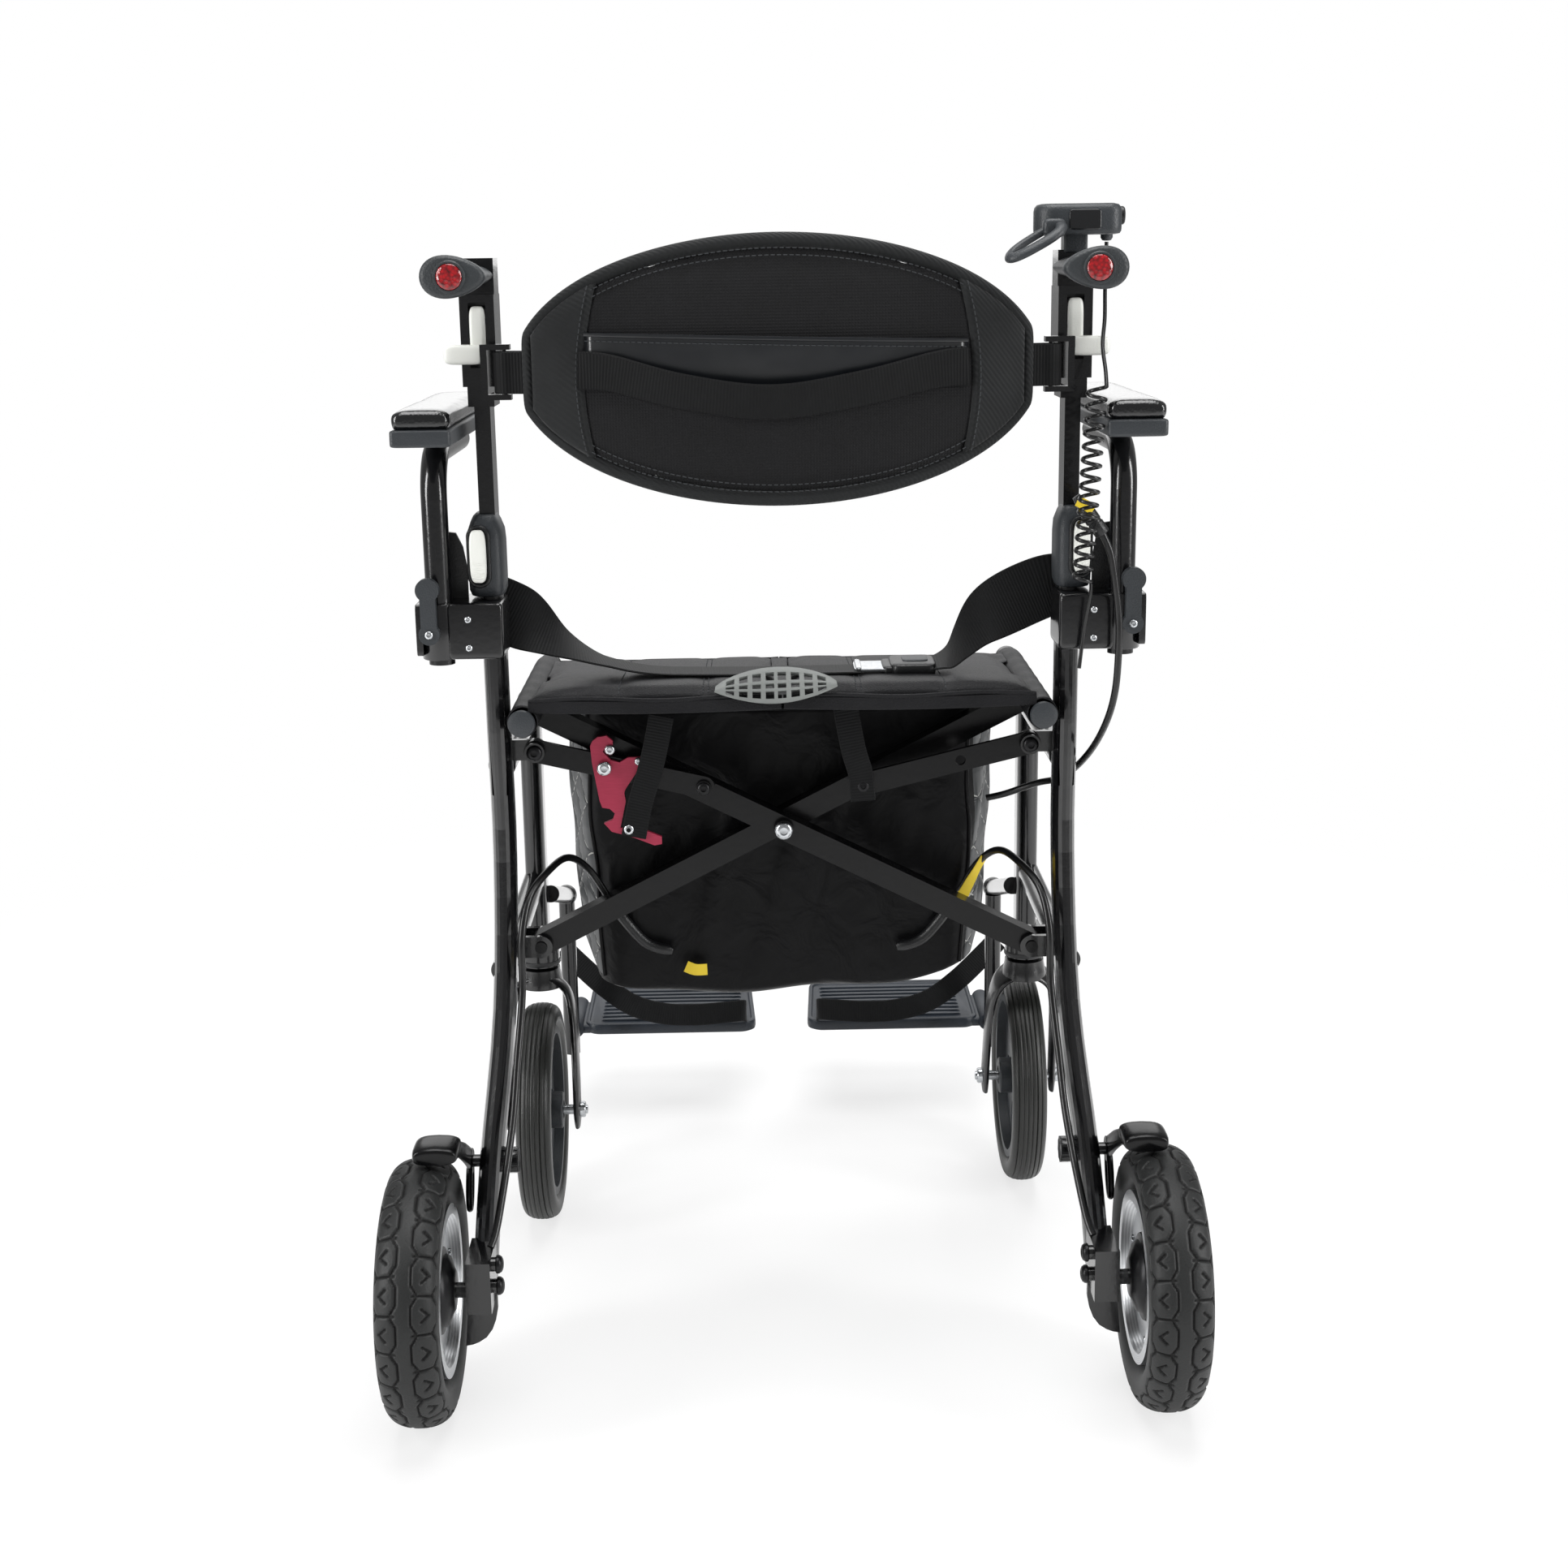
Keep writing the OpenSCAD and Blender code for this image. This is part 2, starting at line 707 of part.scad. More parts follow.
// Casters; way is -1 with the wheel behind its pivot and 1 with it ahead
module caster_fork(way) {
    leg_t = 5;
    inner = caster_tyre_w / 2 + 4;
    top = caster_d + 31;
    wheel = [0, way * caster_trail, caster_d / 2];
    color("#17171a") translate([front_x, wheelbase, 0]) {
        translate([0, 0, caster_d + 4]) cylinder(d = 34, h = 27, $fn = round_n);
        translate([0, 0, top - 1]) cylinder(d = stem_d, h = 26, $fn = round_n);
        block([-inner - leg_t, inner + leg_t], [-15, 15], [caster_d + 4, caster_d + 15]);
        for (x = [-inner - leg_t, inner])
            hull() {
                block([x, x + leg_t], [-15, 15], [caster_d + 2, caster_d + 15]);
                translate([0, wheel[1], wheel[2]]) rod_x(24, x, x + leg_t);
            }
        translate(wheel) {
            rod_x(caster_axle_d, -inner - leg_t, inner + leg_t);
            for (k = [-1, 1])
                rod_x(18, k * (inner + leg_t) - (k > 0 ? 1 : 3), k * (inner + leg_t) + (k > 0 ? 3 : 1));
        }
    }
}

module left_caster_fork() {
    on_side(-1) caster_fork(-1);
}

module right_caster_fork() {
    on_side(1) caster_fork(1);
}

module caster_rim(way) {
    half = caster_tyre_w / 2 - 3;
    lip = caster_rim_d / 2;
    color("#2c2d30") translate([front_x, wheelbase + way * caster_trail, caster_d / 2]) rotate([0, 90, 0])
        difference() {
            union() {
                translate([0, 0, -half - 5]) cylinder(d = 34, h = 2 * half + 10, $fn = round_n);
                translate([0, 0, -4]) cylinder(d = caster_rim_d - 10, h = 8, $fn = round_n * 2);
                rotate_extrude($fn = round_n * 2) polygon([
                    [lip - 7, -half], [lip, -half], [lip, half], [lip - 7, half]
                ]);
            }
            translate([0, 0, -half - 6]) cylinder(d = caster_axle_d + 2 * run, h = 2 * half + 12, $fn = round_n);
            for (k = [0 : 4])
                rotate(72 * k) translate([lip - 34, 0, -6]) cylinder(d = 34, h = 12, $fn = round_n);
        }
}

module left_caster_rim() {
    on_side(-1) caster_rim(-1);
}

module right_caster_rim() {
    on_side(1) caster_rim(1);
}

module caster_tyre(way) {
    color("#222224") translate([front_x, wheelbase + way * caster_trail, caster_d / 2])
        tyre_ring(caster_d, caster_rim_d, caster_tyre_w, 9);
}

module left_caster_tyre() {
    on_side(-1) caster_tyre(-1);
}

module right_caster_tyre() {
    on_side(1) caster_tyre(1);
}

// Brake arm with its shoe over the rear tyre
module brake() {
    arm_x0 = rear_x - rear_tyre_w / 2 - 6.2;
    color("#1a1a1c") difference() {
        union() {
            hull() {
                translate([0, 80, axle_z + brake_rise]) rod_x(20, arm_x0, arm_x0 + 4);
                translate([0, 12, rear_d + 10]) rod_x(12, arm_x0, arm_x0 + 4);
            }
            // Tail of the arm, for the brake cable
            hull() {
                translate([0, 80, axle_z + brake_rise]) rod_x(20, arm_x0, arm_x0 + 4);
                translate([0, 64, axle_z + brake_rise - 34]) rod_x(12, arm_x0, arm_x0 + 4);
            }
            block([arm_x0, rear_x + 4], [-4, 26], [rear_d + 3.4, rear_d + 11]);
        }
        translate([0, 80, axle_z + brake_rise]) rod_x(10 + 2 * run, arm_x0 - 1, arm_x0 + 5);
        hull() {
            translate([0, 74, axle_z + brake_rise - 14]) rod_x(5, arm_x0 - 1, arm_x0 + 5);
            translate([0, 66, axle_z + brake_rise - 30]) rod_x(5, arm_x0 - 1, arm_x0 + 5);
        }
    }
}

module left_brake() {
    on_side(-1) brake();
}

module right_brake() {
    on_side(1) brake();
}

// Footplates
module footplate() {
    inner = 27;
    outer = foot_pin_x - 10;
    rib_step = 14;
    color("#353c44") difference() {
        union() {
            block([inner, outer], [foot_y0, foot_y0 + foot_len], [foot_z - foot_t, foot_z - 2]);
            for (y = [foot_y0 + 4 : rib_step : foot_y0 + foot_len - 8])
                block([inner + 6, outer - 6], [y, y + 5], [foot_z - 3, foot_z]);
            translate([foot_pin_x, 0, foot_pin_z]) rod_y(foot_pin_d + 8, foot_y0 + 2, foot_y0 + 80);
            block([outer - 1, foot_pin_x], [foot_y0 + 2, foot_y0 + 80], [foot_z - foot_t, foot_z - 2]);
        }
        translate([foot_pin_x, 0, foot_pin_z]) rod_y(foot_pin_d + 2 * run, foot_y0 - 1, foot_y0 + 90);
    }
}

module left_footplate() {
    on_side(-1) footplate();
}

module right_footplate() {
    on_side(1) footplate();
}

module heel_strap() {
    z0 = foot_z + web_t / 2;
    color("#18181a") webbing(smooth([
        [44, foot_y0 + 14, z0], [46, foot_y0 - 6, z0 + 14], [72, foot_y0 - 22, z0 + 34],
        [115, foot_y0 - 26, z0 + 42], [158, foot_y0 - 22, z0 + 34],
        [184, foot_y0 - 6, z0 + 14], [186, foot_y0 + 14, z0]
    ], 3), [0, 0.3, 1], 26);
}

module left_heel_strap() {
    on_side(-1) heel_strap();
}

module right_heel_strap() {
    on_side(1) heel_strap();
}

// One brace bar with its seat tube, drawn from the -X low hinge up to +X
module brace_bar(y0) {
    translate([-hinge_x, 0, low_hinge_z]) rotate([0, -brace_angle, 0]) {
        rod_y(bar_h, y0, y0 + bar_t);
        block([0, bar_len - 9], [y0, y0 + bar_t], [-bar_h / 2, bar_h / 2]);
        rod_y(hinge_pin_d, y0 - gap - ear_t - 2, y0 + bar_t + gap + ear_t + 2);
    }
    translate([hinge_x, 0, seat_tube_z]) rod_y(seat_tube_d, seat_tube_y, seat_tube_y + seat_tube_len);
}

module cross_bar_a() {
    color("#151517") place() {
        brace_bar(bar_a_y);
        translate([0, 0, pivot_z]) {
            rod_y(pivot_pin_d, bar_b_y - 5, bar_a_y + 2);
            rod_y(pivot_pin_d + 4, bar_b_y - 7, bar_b_y - gap);
        }
    }
}

module cross_bar_b() {
    color("#151517") place() difference() {
        mirror([1, 0, 0]) brace_bar(bar_b_y);
        translate([0, 0, pivot_z]) rod_y(pivot_pin_d + 2 * run, bar_b_y - 1, bar_a_y);
    }
}

// Brace link from its bolt on the upright to the bolt beside the bar
module link(bar_y) {
    translate([link_u[0], 0, link_u[1]]) rotate([0, link_tilt, 0]) mirror([1, 0, 0]) {
        difference() {
            union() {
                rod_y(link_w, link_y, link_y + link_t);
                translate([link_len, 0, 0]) rod_y(link_w, link_y, link_y + link_t);
                block([0, link_len], [link_y, link_y + link_t], [-link_w / 2, link_w / 2]);
                translate([link_len, 0, 0]) rod_y(12, link_y - 4, bar_y - gap);
            }
            rod_y(link_pin_d + 2 * run, link_y - 1, link_y + link_t + 1);
            translate([latch_at, 0, 0]) rod_y(latch_pin_d + 2 * run, link_y - 1, link_y + link_t + 1);
        }
    }
}

module left_link() {
    color("#151517") on_side(-1) link(bar_b_y);
}

module right_link() {
    color("#151517") on_side(1) link(bar_a_y);
}

// Fold latch on the left link, with an upper hook, a lower hook and a tail
latch_c = [
    -(link_u[0] - latch_at * cos(link_tilt)),
    link_u[1] + latch_at * sin(link_tilt)
];

module latch() {
    y0 = link_y - gap - latch_t;
    color("#a03048") place() translate([latch_c[0], 0, latch_c[1]]) {
        translate([0, y0 + latch_t, 0]) rotate([90, 0, 0]) linear_extrude(latch_t) difference() {
            polygon([
                [-11, 18], [-9, 22], [-5, 25], [2, 26], [7, 22], [7, 18], [1, 17], [-1, 13], [5, 6], [12, 4],
                [19, 8], [28, 8], [31, 4], [16, -18], [15, -21], [16, -28], [13, -42], [11, -50], [23, -50],
                [30, -52], [44, -58], [44, -64], [38, -65], [21, -58], [4, -53], [-2, -46], [5, -43],
                [7, -38], [3, -34], [-3, -33], [-5, -27], [-10, 4]
            ]);
            translate([15, -47]) circle(d = 4, $fn = 24);
        }
        rod_y(latch_pin_d, y0, link_y + link_t);
        rod_y(latch_pin_d + 3, y0 - 2, y0 + 1);
    }
}

// Pull straps of the latch and of the right link
module latch_strap() {
    y0 = link_y - gap - latch_t - web_t / 2 - 0.55;
    x0 = latch_c[0] + 18;
    z0 = latch_c[1] - 48;
    color("#18181a") place() webbing(smooth([
        [x0, y0, z0 - 10], [x0 + 3, y0, z0 + 20], [x0 + 13, y0 - 4, z0 + 56], [x0 + 20, y0 - 4, z0 + 90]
    ], 3), [1, 0, 0], strap_w);
}

module link_strap() {
    y0 = link_y - 4 - web_t / 2 - 0.3;
    color("#18181a") place() webbing(smooth([
        [link_p[0], y0, link_p[1] - 12], [link_p[0] - 2, y0 - 1, link_p[1] + 10],
        [link_p[0] - 8, y0 - 2, link_p[1] + 32], [link_p[0] - 14, y0 - 1, link_p[1] + 66]
    ], 3), [1, 0, 0], strap_w);
}

// Half of the seat cushion, crowned, with drawn-in sides and a row of sewn channels
module seat_half() {
    x0 = seat_gap;
    x1 = hinge_x - 6;
    z0 = seat_tube_z + seat_tube_d / 2 + gap;
    y0 = seat_tube_y + 4;
    belly = 2.5;
    n = 16;
    m = 20;
    skin([
        for (i = [0 : n])
            let (
                t = i / n,
                x = x1 + (x0 - x1) * t,
                swell = pow(1 - pow(abs(2 * t - 1), 5), 0.5),
                channel = 0.7 * pow(cos(180 * 3 * t), 8) * (t > 0.1 && t < 0.9 ? 1 : 0),
                half = seat_depth / 2 - 3 * (1 - swell)
            )
            [
                for (j = [0 : m - 1])
                    let (
                        a = -360 * j / m,
                        c = sign(cos(a)) * pow(abs(cos(a)), 0.35),
                        s = sign(sin(a)) * pow(abs(sin(a)), 0.6),
                        rise = s > 0 ? seat_edge_t - belly + (seat_crown - channel * 1.4) * swell * s : belly
                    )
                    [x, y0 + seat_depth / 2 + half * c, z0 + belly + rise * s]
            ]
    ]);
}

module seat_left() {
    color("#3a3a3c") on_side(-1) seat_half();
}

module seat_right() {
    color("#3a3a3c") on_side(1) seat_half();
}

// Slotted carry grip laid across the seat's middle
module carry_grip() {
    z0 = seat_tube_z + seat_tube_d / 2 + seat_edge_t + seat_crown + 0.25;
    y0 = seat_tube_y + 22;
    color("#4a4e52") place() difference() {
        block([-carry_len / 2 - 6, carry_len / 2 - 6], [y0, y0 + 30], [z0, z0 + 6]);
        for (k = [-2 : 2])
            block([-6 + k * 16 - 4, -6 + k * 16 + 4], [y0 + 8, y0 + 22], [z0 - 1, z0 + 7]);
    }
}

// Backrest halves: oval outline, bowed to the rear, folding at the front of the middle
function back_y(x) = back_hinge_y - back_bow * (1 - pow(x / back_hinge_x, 2));
function back_height(x) = back_h / 2 * sqrt(1 - pow(min(abs(x) / (back_half_w + 7), 1), 2));

module back_half() {
    n = 14;
    m = 20;
    skin([
        for (i = [0 : n])
            let (
                x = back_half_w * 0.995 + (0.4 - back_half_w * 0.995) * pow(i / n, 0.8),
                h = max(back_height(x), 16),
                t = back_t / 2 * (0.45 + 0.55 * pow(h / (back_h / 2), 0.6))
            )
            [
                for (j = [0 : m - 1])
                    let (
                        a = -360 * j / m,
                        c = sign(cos(a)) * pow(abs(cos(a)), 0.5),
                        s = sign(sin(a)) * pow(abs(sin(a)), 0.5)
                    )
                    [x, back_y(x) + t * c, back_z + h * s]
            ]
    ]);
}

// Rod along the fold, at the front of the middle
fold_rod_len = 0.7 * back_h;

module fold_rod(d, h) {
    translate([0, back_y(0) + back_t / 2, back_z - h / 2]) cylinder(d = d, h = h, $fn = round_n);
}

module backrest_left() {
    color("#1f1f21") on_side(-1) {
        back_half();
        fold_rod(back_pin_d, fold_rod_len);
        // End band and the hinge barrel at the handle
        difference() {
            union() {
                block([back_half_w - 8, back_hinge_x], [back_hinge_y - 6, back_hinge_y - 2], [back_z - 15, back_z + 15]);
                translate([back_hinge_x, back_hinge_y, back_z - 15]) cylinder(d = 9, h = 30, $fn = round_n);
            }
            translate([back_hinge_x, back_hinge_y, back_z - 16])
                cylinder(d = back_pin_d + 2 * run, h = 32, $fn = round_n);
        }
    }
}

module backrest_right() {
    color("#1f1f21") on_side(1) difference() {
        back_half();
        fold_rod(back_pin_d + 2 * run, fold_rod_len + 2);
    }
}

// Lap belt halves, draped from the uprights to the seat
belt_z = seat_tube_z + seat_tube_d / 2 + seat_edge_t + seat_crown + 2 * gap + web_t;

belt_y = upright_y + tube_d / 2 + 30;
buckle_x = 43;
buckle_len = 82;
belt_hang = frame_in - web_t / 2 - 0.2;

module lap_belt_left() {
    color("#18181a") place() webbing(smooth([
        [-belt_hang, upright_y, belt_z + 64], [-belt_hang + 2, upright_y + 4, belt_z + 42],
        [-belt_hang + 16, belt_y - 24, belt_z + 16], [-belt_hang + 52, belt_y - 4, belt_z + 1],
        [-90, belt_y, belt_z + 1], [buckle_x + 1, belt_y, belt_z + 1]
    ], 3), [0, 1, 0], belt_w);
}

module lap_belt_right() {
    color("#18181a") place() webbing(smooth([
        [belt_hang, upright_y, belt_z + 64], [belt_hang - 2, upright_y + 4, belt_z + 42],
        [belt_hang - 16, belt_y - 24, belt_z + 16], [belt_hang - 52, belt_y - 4, belt_z + 1],
        [buckle_x + buckle_len - 1, belt_y, belt_z + 1]
    ], 3), [0, 1, 0], belt_w);
}

module belt_buckle() {
    y0 = belt_y;
    z0 = belt_z - web_t;
    color("#1a1a1c") place() difference() {
        block([buckle_x, buckle_x + buckle_len], [y0 - belt_w / 2 - 4, y0 + belt_w / 2 + 4], [z0, z0 + 12]);
        block([buckle_x - 1, buckle_x + 7], [y0 - belt_w / 2 - 1, y0 + belt_w / 2 + 1], [z0 - 1, z0 + 7]);
        block([buckle_x + buckle_len - 7, buckle_x + buckle_len + 1], [y0 - belt_w / 2 - 1, y0 + belt_w / 2 + 1], [z0 - 1, z0 + 7]);
    }
}

// Open cloth bag hung under the seat tubes
module under_seat_bag() {
    top = seat_tube_z - seat_tube_d / 2 - 0.3;
    flare = hinge_x - 7;
    color("#1c1c1e") place() difference() {
        translate([0, 0, bag_z]) linear_extrude(top - bag_z) polygon([
            [-bag_half_w, bag_y], [bag_half_w, bag_y], [flare, bag_y + bag_depth], [-flare, bag_y + bag_depth]
        ]);
        translate([0, 0, bag_z + bag_wall]) linear_extrude(top - bag_z) polygon([
            [-bag_half_w + bag_wall, bag_y + bag_wall], [bag_half_w - bag_wall, bag_y + bag_wall],
            [flare - bag_wall, bag_y + bag_depth - bag_wall], [-flare + bag_wall, bag_y + bag_depth - bag_wall]
        ]);
    }
}

// Drive controller on the right handle
ctrl_z = grip_z + grip_h / 2 + 8;
ctrl_y = grip_y - 12;

module controller() {
    color("#202124") place() {
        block([frame_x - 8, frame_x + 8], [grip_y + 10, grip_y + 26], [grip_z + grip_h / 2 - 3, ctrl_z + 4]);
        block([frame_x - 33, frame_x + 32], [ctrl_y, ctrl_y + 42], [ctrl_z, ctrl_z + 22]);
        translate([0, ctrl_y + 14, ctrl_z + 11]) rod_x(10, frame_x + 31, frame_x + 35);
        translate([frame_x + 24, grip_y + 16, ctrl_z - 5]) cylinder(d = 7, h = 6, $fn = round_n);
        translate([frame_x - 24, 0, ctrl_z + 11]) rod_y(4, ctrl_y - 7, ctrl_y + 1);
    }
}

module controller_paddle() {
    color("#2a2b2e") place() translate([frame_x - 24, 0, ctrl_z + 11]) difference() {
        union() {
            rod_y(12, ctrl_y - 6, ctrl_y - gap);
            rotate([0, -28, 0]) block([-38, 0], [ctrl_y - 5.5, ctrl_y - 2], [-5.5, 5.5]);
        }
        rod_y(4 + 2 * run, ctrl_y - 8, ctrl_y + 1);
        rotate([0, -28, 0]) block([-34, -14], [ctrl_y - 8, ctrl_y + 1], [-3, 3]);
    }
}

// Curly cord from the controller's socket down past the clamp lever
curl_top = [frame_x + 6, upright_y - 88, ctrl_z - 108];
curl_end = [frame_x + 1, upright_y - 66, ctrl_z - 254];
curl_r = curl_d / 2 - curl_wire_d / 2;
curl_steps = 8 * curl_count;
curl_pitch = (curl_top[2] - curl_end[2]) / curl_count;
curl_route = concat(
    [[frame_x + 24, grip_y + 16, ctrl_z - 5.6], [frame_x + 24, grip_y + 16, ctrl_z - 20],
     [frame_x + 23, grip_y + 12, ctrl_z - 41], [frame_x + 20, grip_y - 8, ctrl_z - 61],
     [frame_x + 15, grip_y - 32, ctrl_z - 80], [frame_x + 14, grip_y - 54, ctrl_z - 97]],
    [for (i = [0 : curl_steps])
        [
            curl_top[0] + (curl_end[0] - curl_top[0]) * i / curl_steps + curl_r * cos(45 * i),
            curl_top[1] + (curl_end[1] - curl_top[1]) * i / curl_steps + curl_r * sin(45 * i),
            curl_top[2] - curl_pitch * i / 8
        ]
    ],
    [[234, 94, 618], [231, 103, 590], [228, 104, 560]]
);
// Least distance between points of the cord's line at least five points apart, less the wire
curl_gap = min([
    for (i = [0 : len(curl_route) - 6])
        min([for (j = [i + 5 : len(curl_route) - 1]) norm(curl_route[i] - curl_route[j])])
]) - curl_wire_d;
echo(curl_self_gap = curl_gap);

module curly_cord() {
    color("#151515") place() cord(curl_route, curl_wire_d, [1, 0, 0], 6);
}

// Routes of the held leads and of the power cable
cable_points = [
    [283, 130, 640], [283, 130, 600], [284, 136, 560], [276, 156, 512],
    [250, 190, 464], [214, 224, 440], [188, 238, 428], [172, 240, 424]
];
lead_points = [
    [232, 6, 134], [227, 20, 150], [219, 66, 205], [216, 96, 250], [212, 118, 300],
    [211, 124, 345], [205, 140, 374], [192, 165, 388], [178, 198, 390], [162, 219, 372],
    [142, 222, 338], [118, 222, 308], [95, 222, 300]
];

module power_cable() {
    color("#151515") place() {
        cord(smooth(cable_points, 4), cable_d, [0, 1, 0], 8);
        // Plug at the cable's upper end
        translate([cable_points[0][0], cable_points[0][1], cable_points[0][2] - 2])
            cylinder(d = 12, h = 30, $fn = round_n);
    }
}

module motor_lead() {
    cord(smooth(lead_points, 4), lead_d, [0, 1, 0], 8);
}

module left_motor_lead() {
    color("#151515") on_side(-1) motor_lead();
}

module right_motor_lead() {
    color("#151515") on_side(1) motor_lead();
}

left_main_tube();
right_main_tube();
left_side_frame();
right_side_frame();
left_post_clamp();
right_post_clamp();
left_clamp_lever();
right_clamp_lever();
left_armrest();
right_armrest();
left_armrest_pad();
right_armrest_pad();
left_cam_lever();
right_cam_lever();
left_handle_post();
right_handle_post();
left_grip();
right_grip();
left_reflector();
right_reflector();
left_release_lever();
right_release_lever();
left_motor_rim();
right_motor_rim();
left_rear_tyre();
right_rear_tyre();
left_caster_fork();
right_caster_fork();
left_caster_rim();
right_caster_rim();
left_caster_tyre();
right_caster_tyre();
left_brake();
right_brake();
left_footplate();
right_footplate();
left_heel_strap();
right_heel_strap();
left_link();
right_link();
cross_bar_a();
cross_bar_b();
latch();
latch_strap();
link_strap();
seat_left();
seat_right();
carry_grip();
backrest_left();
backrest_right();
lap_belt_left();
lap_belt_right();
belt_buckle();
under_seat_bag();
controller();
controller_paddle();
curly_cord();
power_cable();
left_motor_lead();
right_motor_lead();
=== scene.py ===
"""Looks of a powered rollator transport chair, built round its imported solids.

Points are written in millimetres with Y from the rear axle, and build() moves them to the part's frame.
"""

import math

import bpy
import numpy as np
from mathutils import Matrix, Vector


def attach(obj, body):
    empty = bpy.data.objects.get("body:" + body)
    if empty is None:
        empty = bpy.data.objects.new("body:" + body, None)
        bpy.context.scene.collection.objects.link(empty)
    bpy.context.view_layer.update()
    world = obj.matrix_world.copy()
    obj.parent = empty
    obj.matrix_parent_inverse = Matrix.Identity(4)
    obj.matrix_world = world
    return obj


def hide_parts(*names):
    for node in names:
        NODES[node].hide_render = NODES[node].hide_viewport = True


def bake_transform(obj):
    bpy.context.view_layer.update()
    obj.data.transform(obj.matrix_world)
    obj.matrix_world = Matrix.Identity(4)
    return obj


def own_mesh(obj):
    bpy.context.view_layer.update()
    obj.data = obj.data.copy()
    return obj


bl_info = {
    "name": "Rollator transport chair looks",
    "version": (1, 0, 0),
    "blender": (4, 5, 0),
    "location": "View3D > Sidebar > Chair",
    "description": "Wheels, soft goods, cords and finishes of a powered rollator transport chair",
    "category": "Object",
}

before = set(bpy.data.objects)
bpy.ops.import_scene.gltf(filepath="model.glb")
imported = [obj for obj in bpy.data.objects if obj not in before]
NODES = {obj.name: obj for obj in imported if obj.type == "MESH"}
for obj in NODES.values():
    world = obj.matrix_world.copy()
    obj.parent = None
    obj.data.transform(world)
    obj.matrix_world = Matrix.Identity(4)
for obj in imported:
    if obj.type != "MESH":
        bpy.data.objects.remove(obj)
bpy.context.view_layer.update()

# The rear axle lies this far behind the part's middle
Y_MID = 307.2
SIDES = {"left": -1, "right": 1}
# Middle planes and axles of the wheels; the left caster trails and the right one leads
REAR_X, REAR_AXLE_Z = 284, 101.6
CASTER_X, STEM_Y, CASTER_TRAIL, CASTER_AXLE_Z = 226, 396, 33, 100.0
# Seat tubes, and the middle of the seat's depth
SEAT_TUBE_X, SEAT_TUBE_Z, SEAT_Y = 203, 521, 236
# Middle heights of the backrest and of the grips
BACK_Z, GRIP_Z = 790, 860


# Sizes and colours
class ChairSizes(bpy.types.PropertyGroup):
    """Sizes of the dressed pieces, in metres"""

    tread_depth: bpy.props.FloatProperty(
        name="Tread groove", description="Depth of the grooves round the hexagon lugs",
        default=0.0018, min=0.0, max=0.003, subtype="DISTANCE", unit="LENGTH")
    tread_cells: bpy.props.IntProperty(
        name="Lugs round a tyre", description="Hexagon lugs in one row of a rear tyre",
        default=22, min=12, max=36)
    seat_swell: bpy.props.FloatProperty(
        name="Seat swell", description="Most that a point of the seat cushion swells",
        default=0.0035, min=0.0, max=0.01, subtype="DISTANCE", unit="LENGTH")
    binding: bpy.props.FloatProperty(
        name="Binding", description="Half of the width of the backrest's bound edge",
        default=0.0056, min=0.002, max=0.01, subtype="DISTANCE", unit="LENGTH")
    strap_sag: bpy.props.FloatProperty(
        name="Hand strap sag", description="Drop of the backrest's hand strap at its middle",
        default=0.021, min=0.0, max=0.05, subtype="DISTANCE", unit="LENGTH")


class ChairColours(bpy.types.PropertyGroup):
    """Colours of the finishes, as sRGB hex values"""

    enamel: bpy.props.StringProperty(
        name="Frame", description="Gloss enamel of the tubes", default="060607")
    latch: bpy.props.StringProperty(
        name="Latch", description="Anodised fold latch", default="92223c")
    lever: bpy.props.StringProperty(
        name="Levers", description="Moulded ivory levers", default="e2e3dd")
    vinyl: bpy.props.StringProperty(
        name="Seat", description="Vinyl of the seat cushion", default="161618")
    canvas: bpy.props.StringProperty(
        name="Backrest", description="Woven back of the backrest", default="08080a")
    foot: bpy.props.StringProperty(
        name="Footplates", description="Moulded footplates", default="171c23")


def sizes():
    """The sizes in use."""
    return bpy.context.scene.chair_sizes


def colours():
    """The colours in use."""
    return bpy.context.scene.chair_colours


# Colour, nodes and finishes
def linear(code):
    """The linear colour of an sRGB hex value."""
    parts = [int(code[i:i + 2], 16) / 255 for i in (0, 2, 4)]
    return tuple(c / 12.92 if c <= 0.04045 else ((c + 0.055) / 1.055) ** 2.4 for c in parts) + (1.0,)


def per_mm(size):
    """Texture scale that repeats once in so many millimetres."""
    return 1000.0 / size


def per_wave(size):
    """Scale of a wave texture that repeats once in so many millimetres."""
    return 314.16 / size


def add(tree, kind, inputs=None, **settings):
    """Adds a node with its settings, and sets or links its inputs."""
    node = tree.nodes.new(kind)
    for key, value in settings.items():
        setattr(node, key, value)
    for key, value in (inputs or {}).items():
        if isinstance(value, bpy.types.NodeSocket):
            tree.links.new(value, node.inputs[key])
        else:
            node.inputs[key].default_value = value
    return node


def start(name, base, roughness, metallic=0.0, **more):
    """A new material with its plain shader values, and the parts that its pattern is linked to."""
    made = bpy.data.materials.new(name)
    made.use_nodes = True
    tree = made.node_tree
    shader = tree.nodes["Principled BSDF"]
    shader.inputs["Base Color"].default_value = linear(base)
    shader.inputs["Roughness"].default_value = roughness
    shader.inputs["Metallic"].default_value = metallic
    for key, value in more.items():
        shader.inputs[key.replace("_", " ").title().replace("Ior", "IOR")].default_value = value
    place = add(tree, "ShaderNodeTexCoord")
    return made, tree, shader, place


def noise(tree, place, size, detail=2.0):
    """A cloudy pattern with features of so many millimetres."""
    node = add(tree, "ShaderNodeTexNoise", {"Vector": place.outputs["Object"], "Scale": per_mm(size),
                                            "Detail": detail})
    return node.outputs["Fac"]


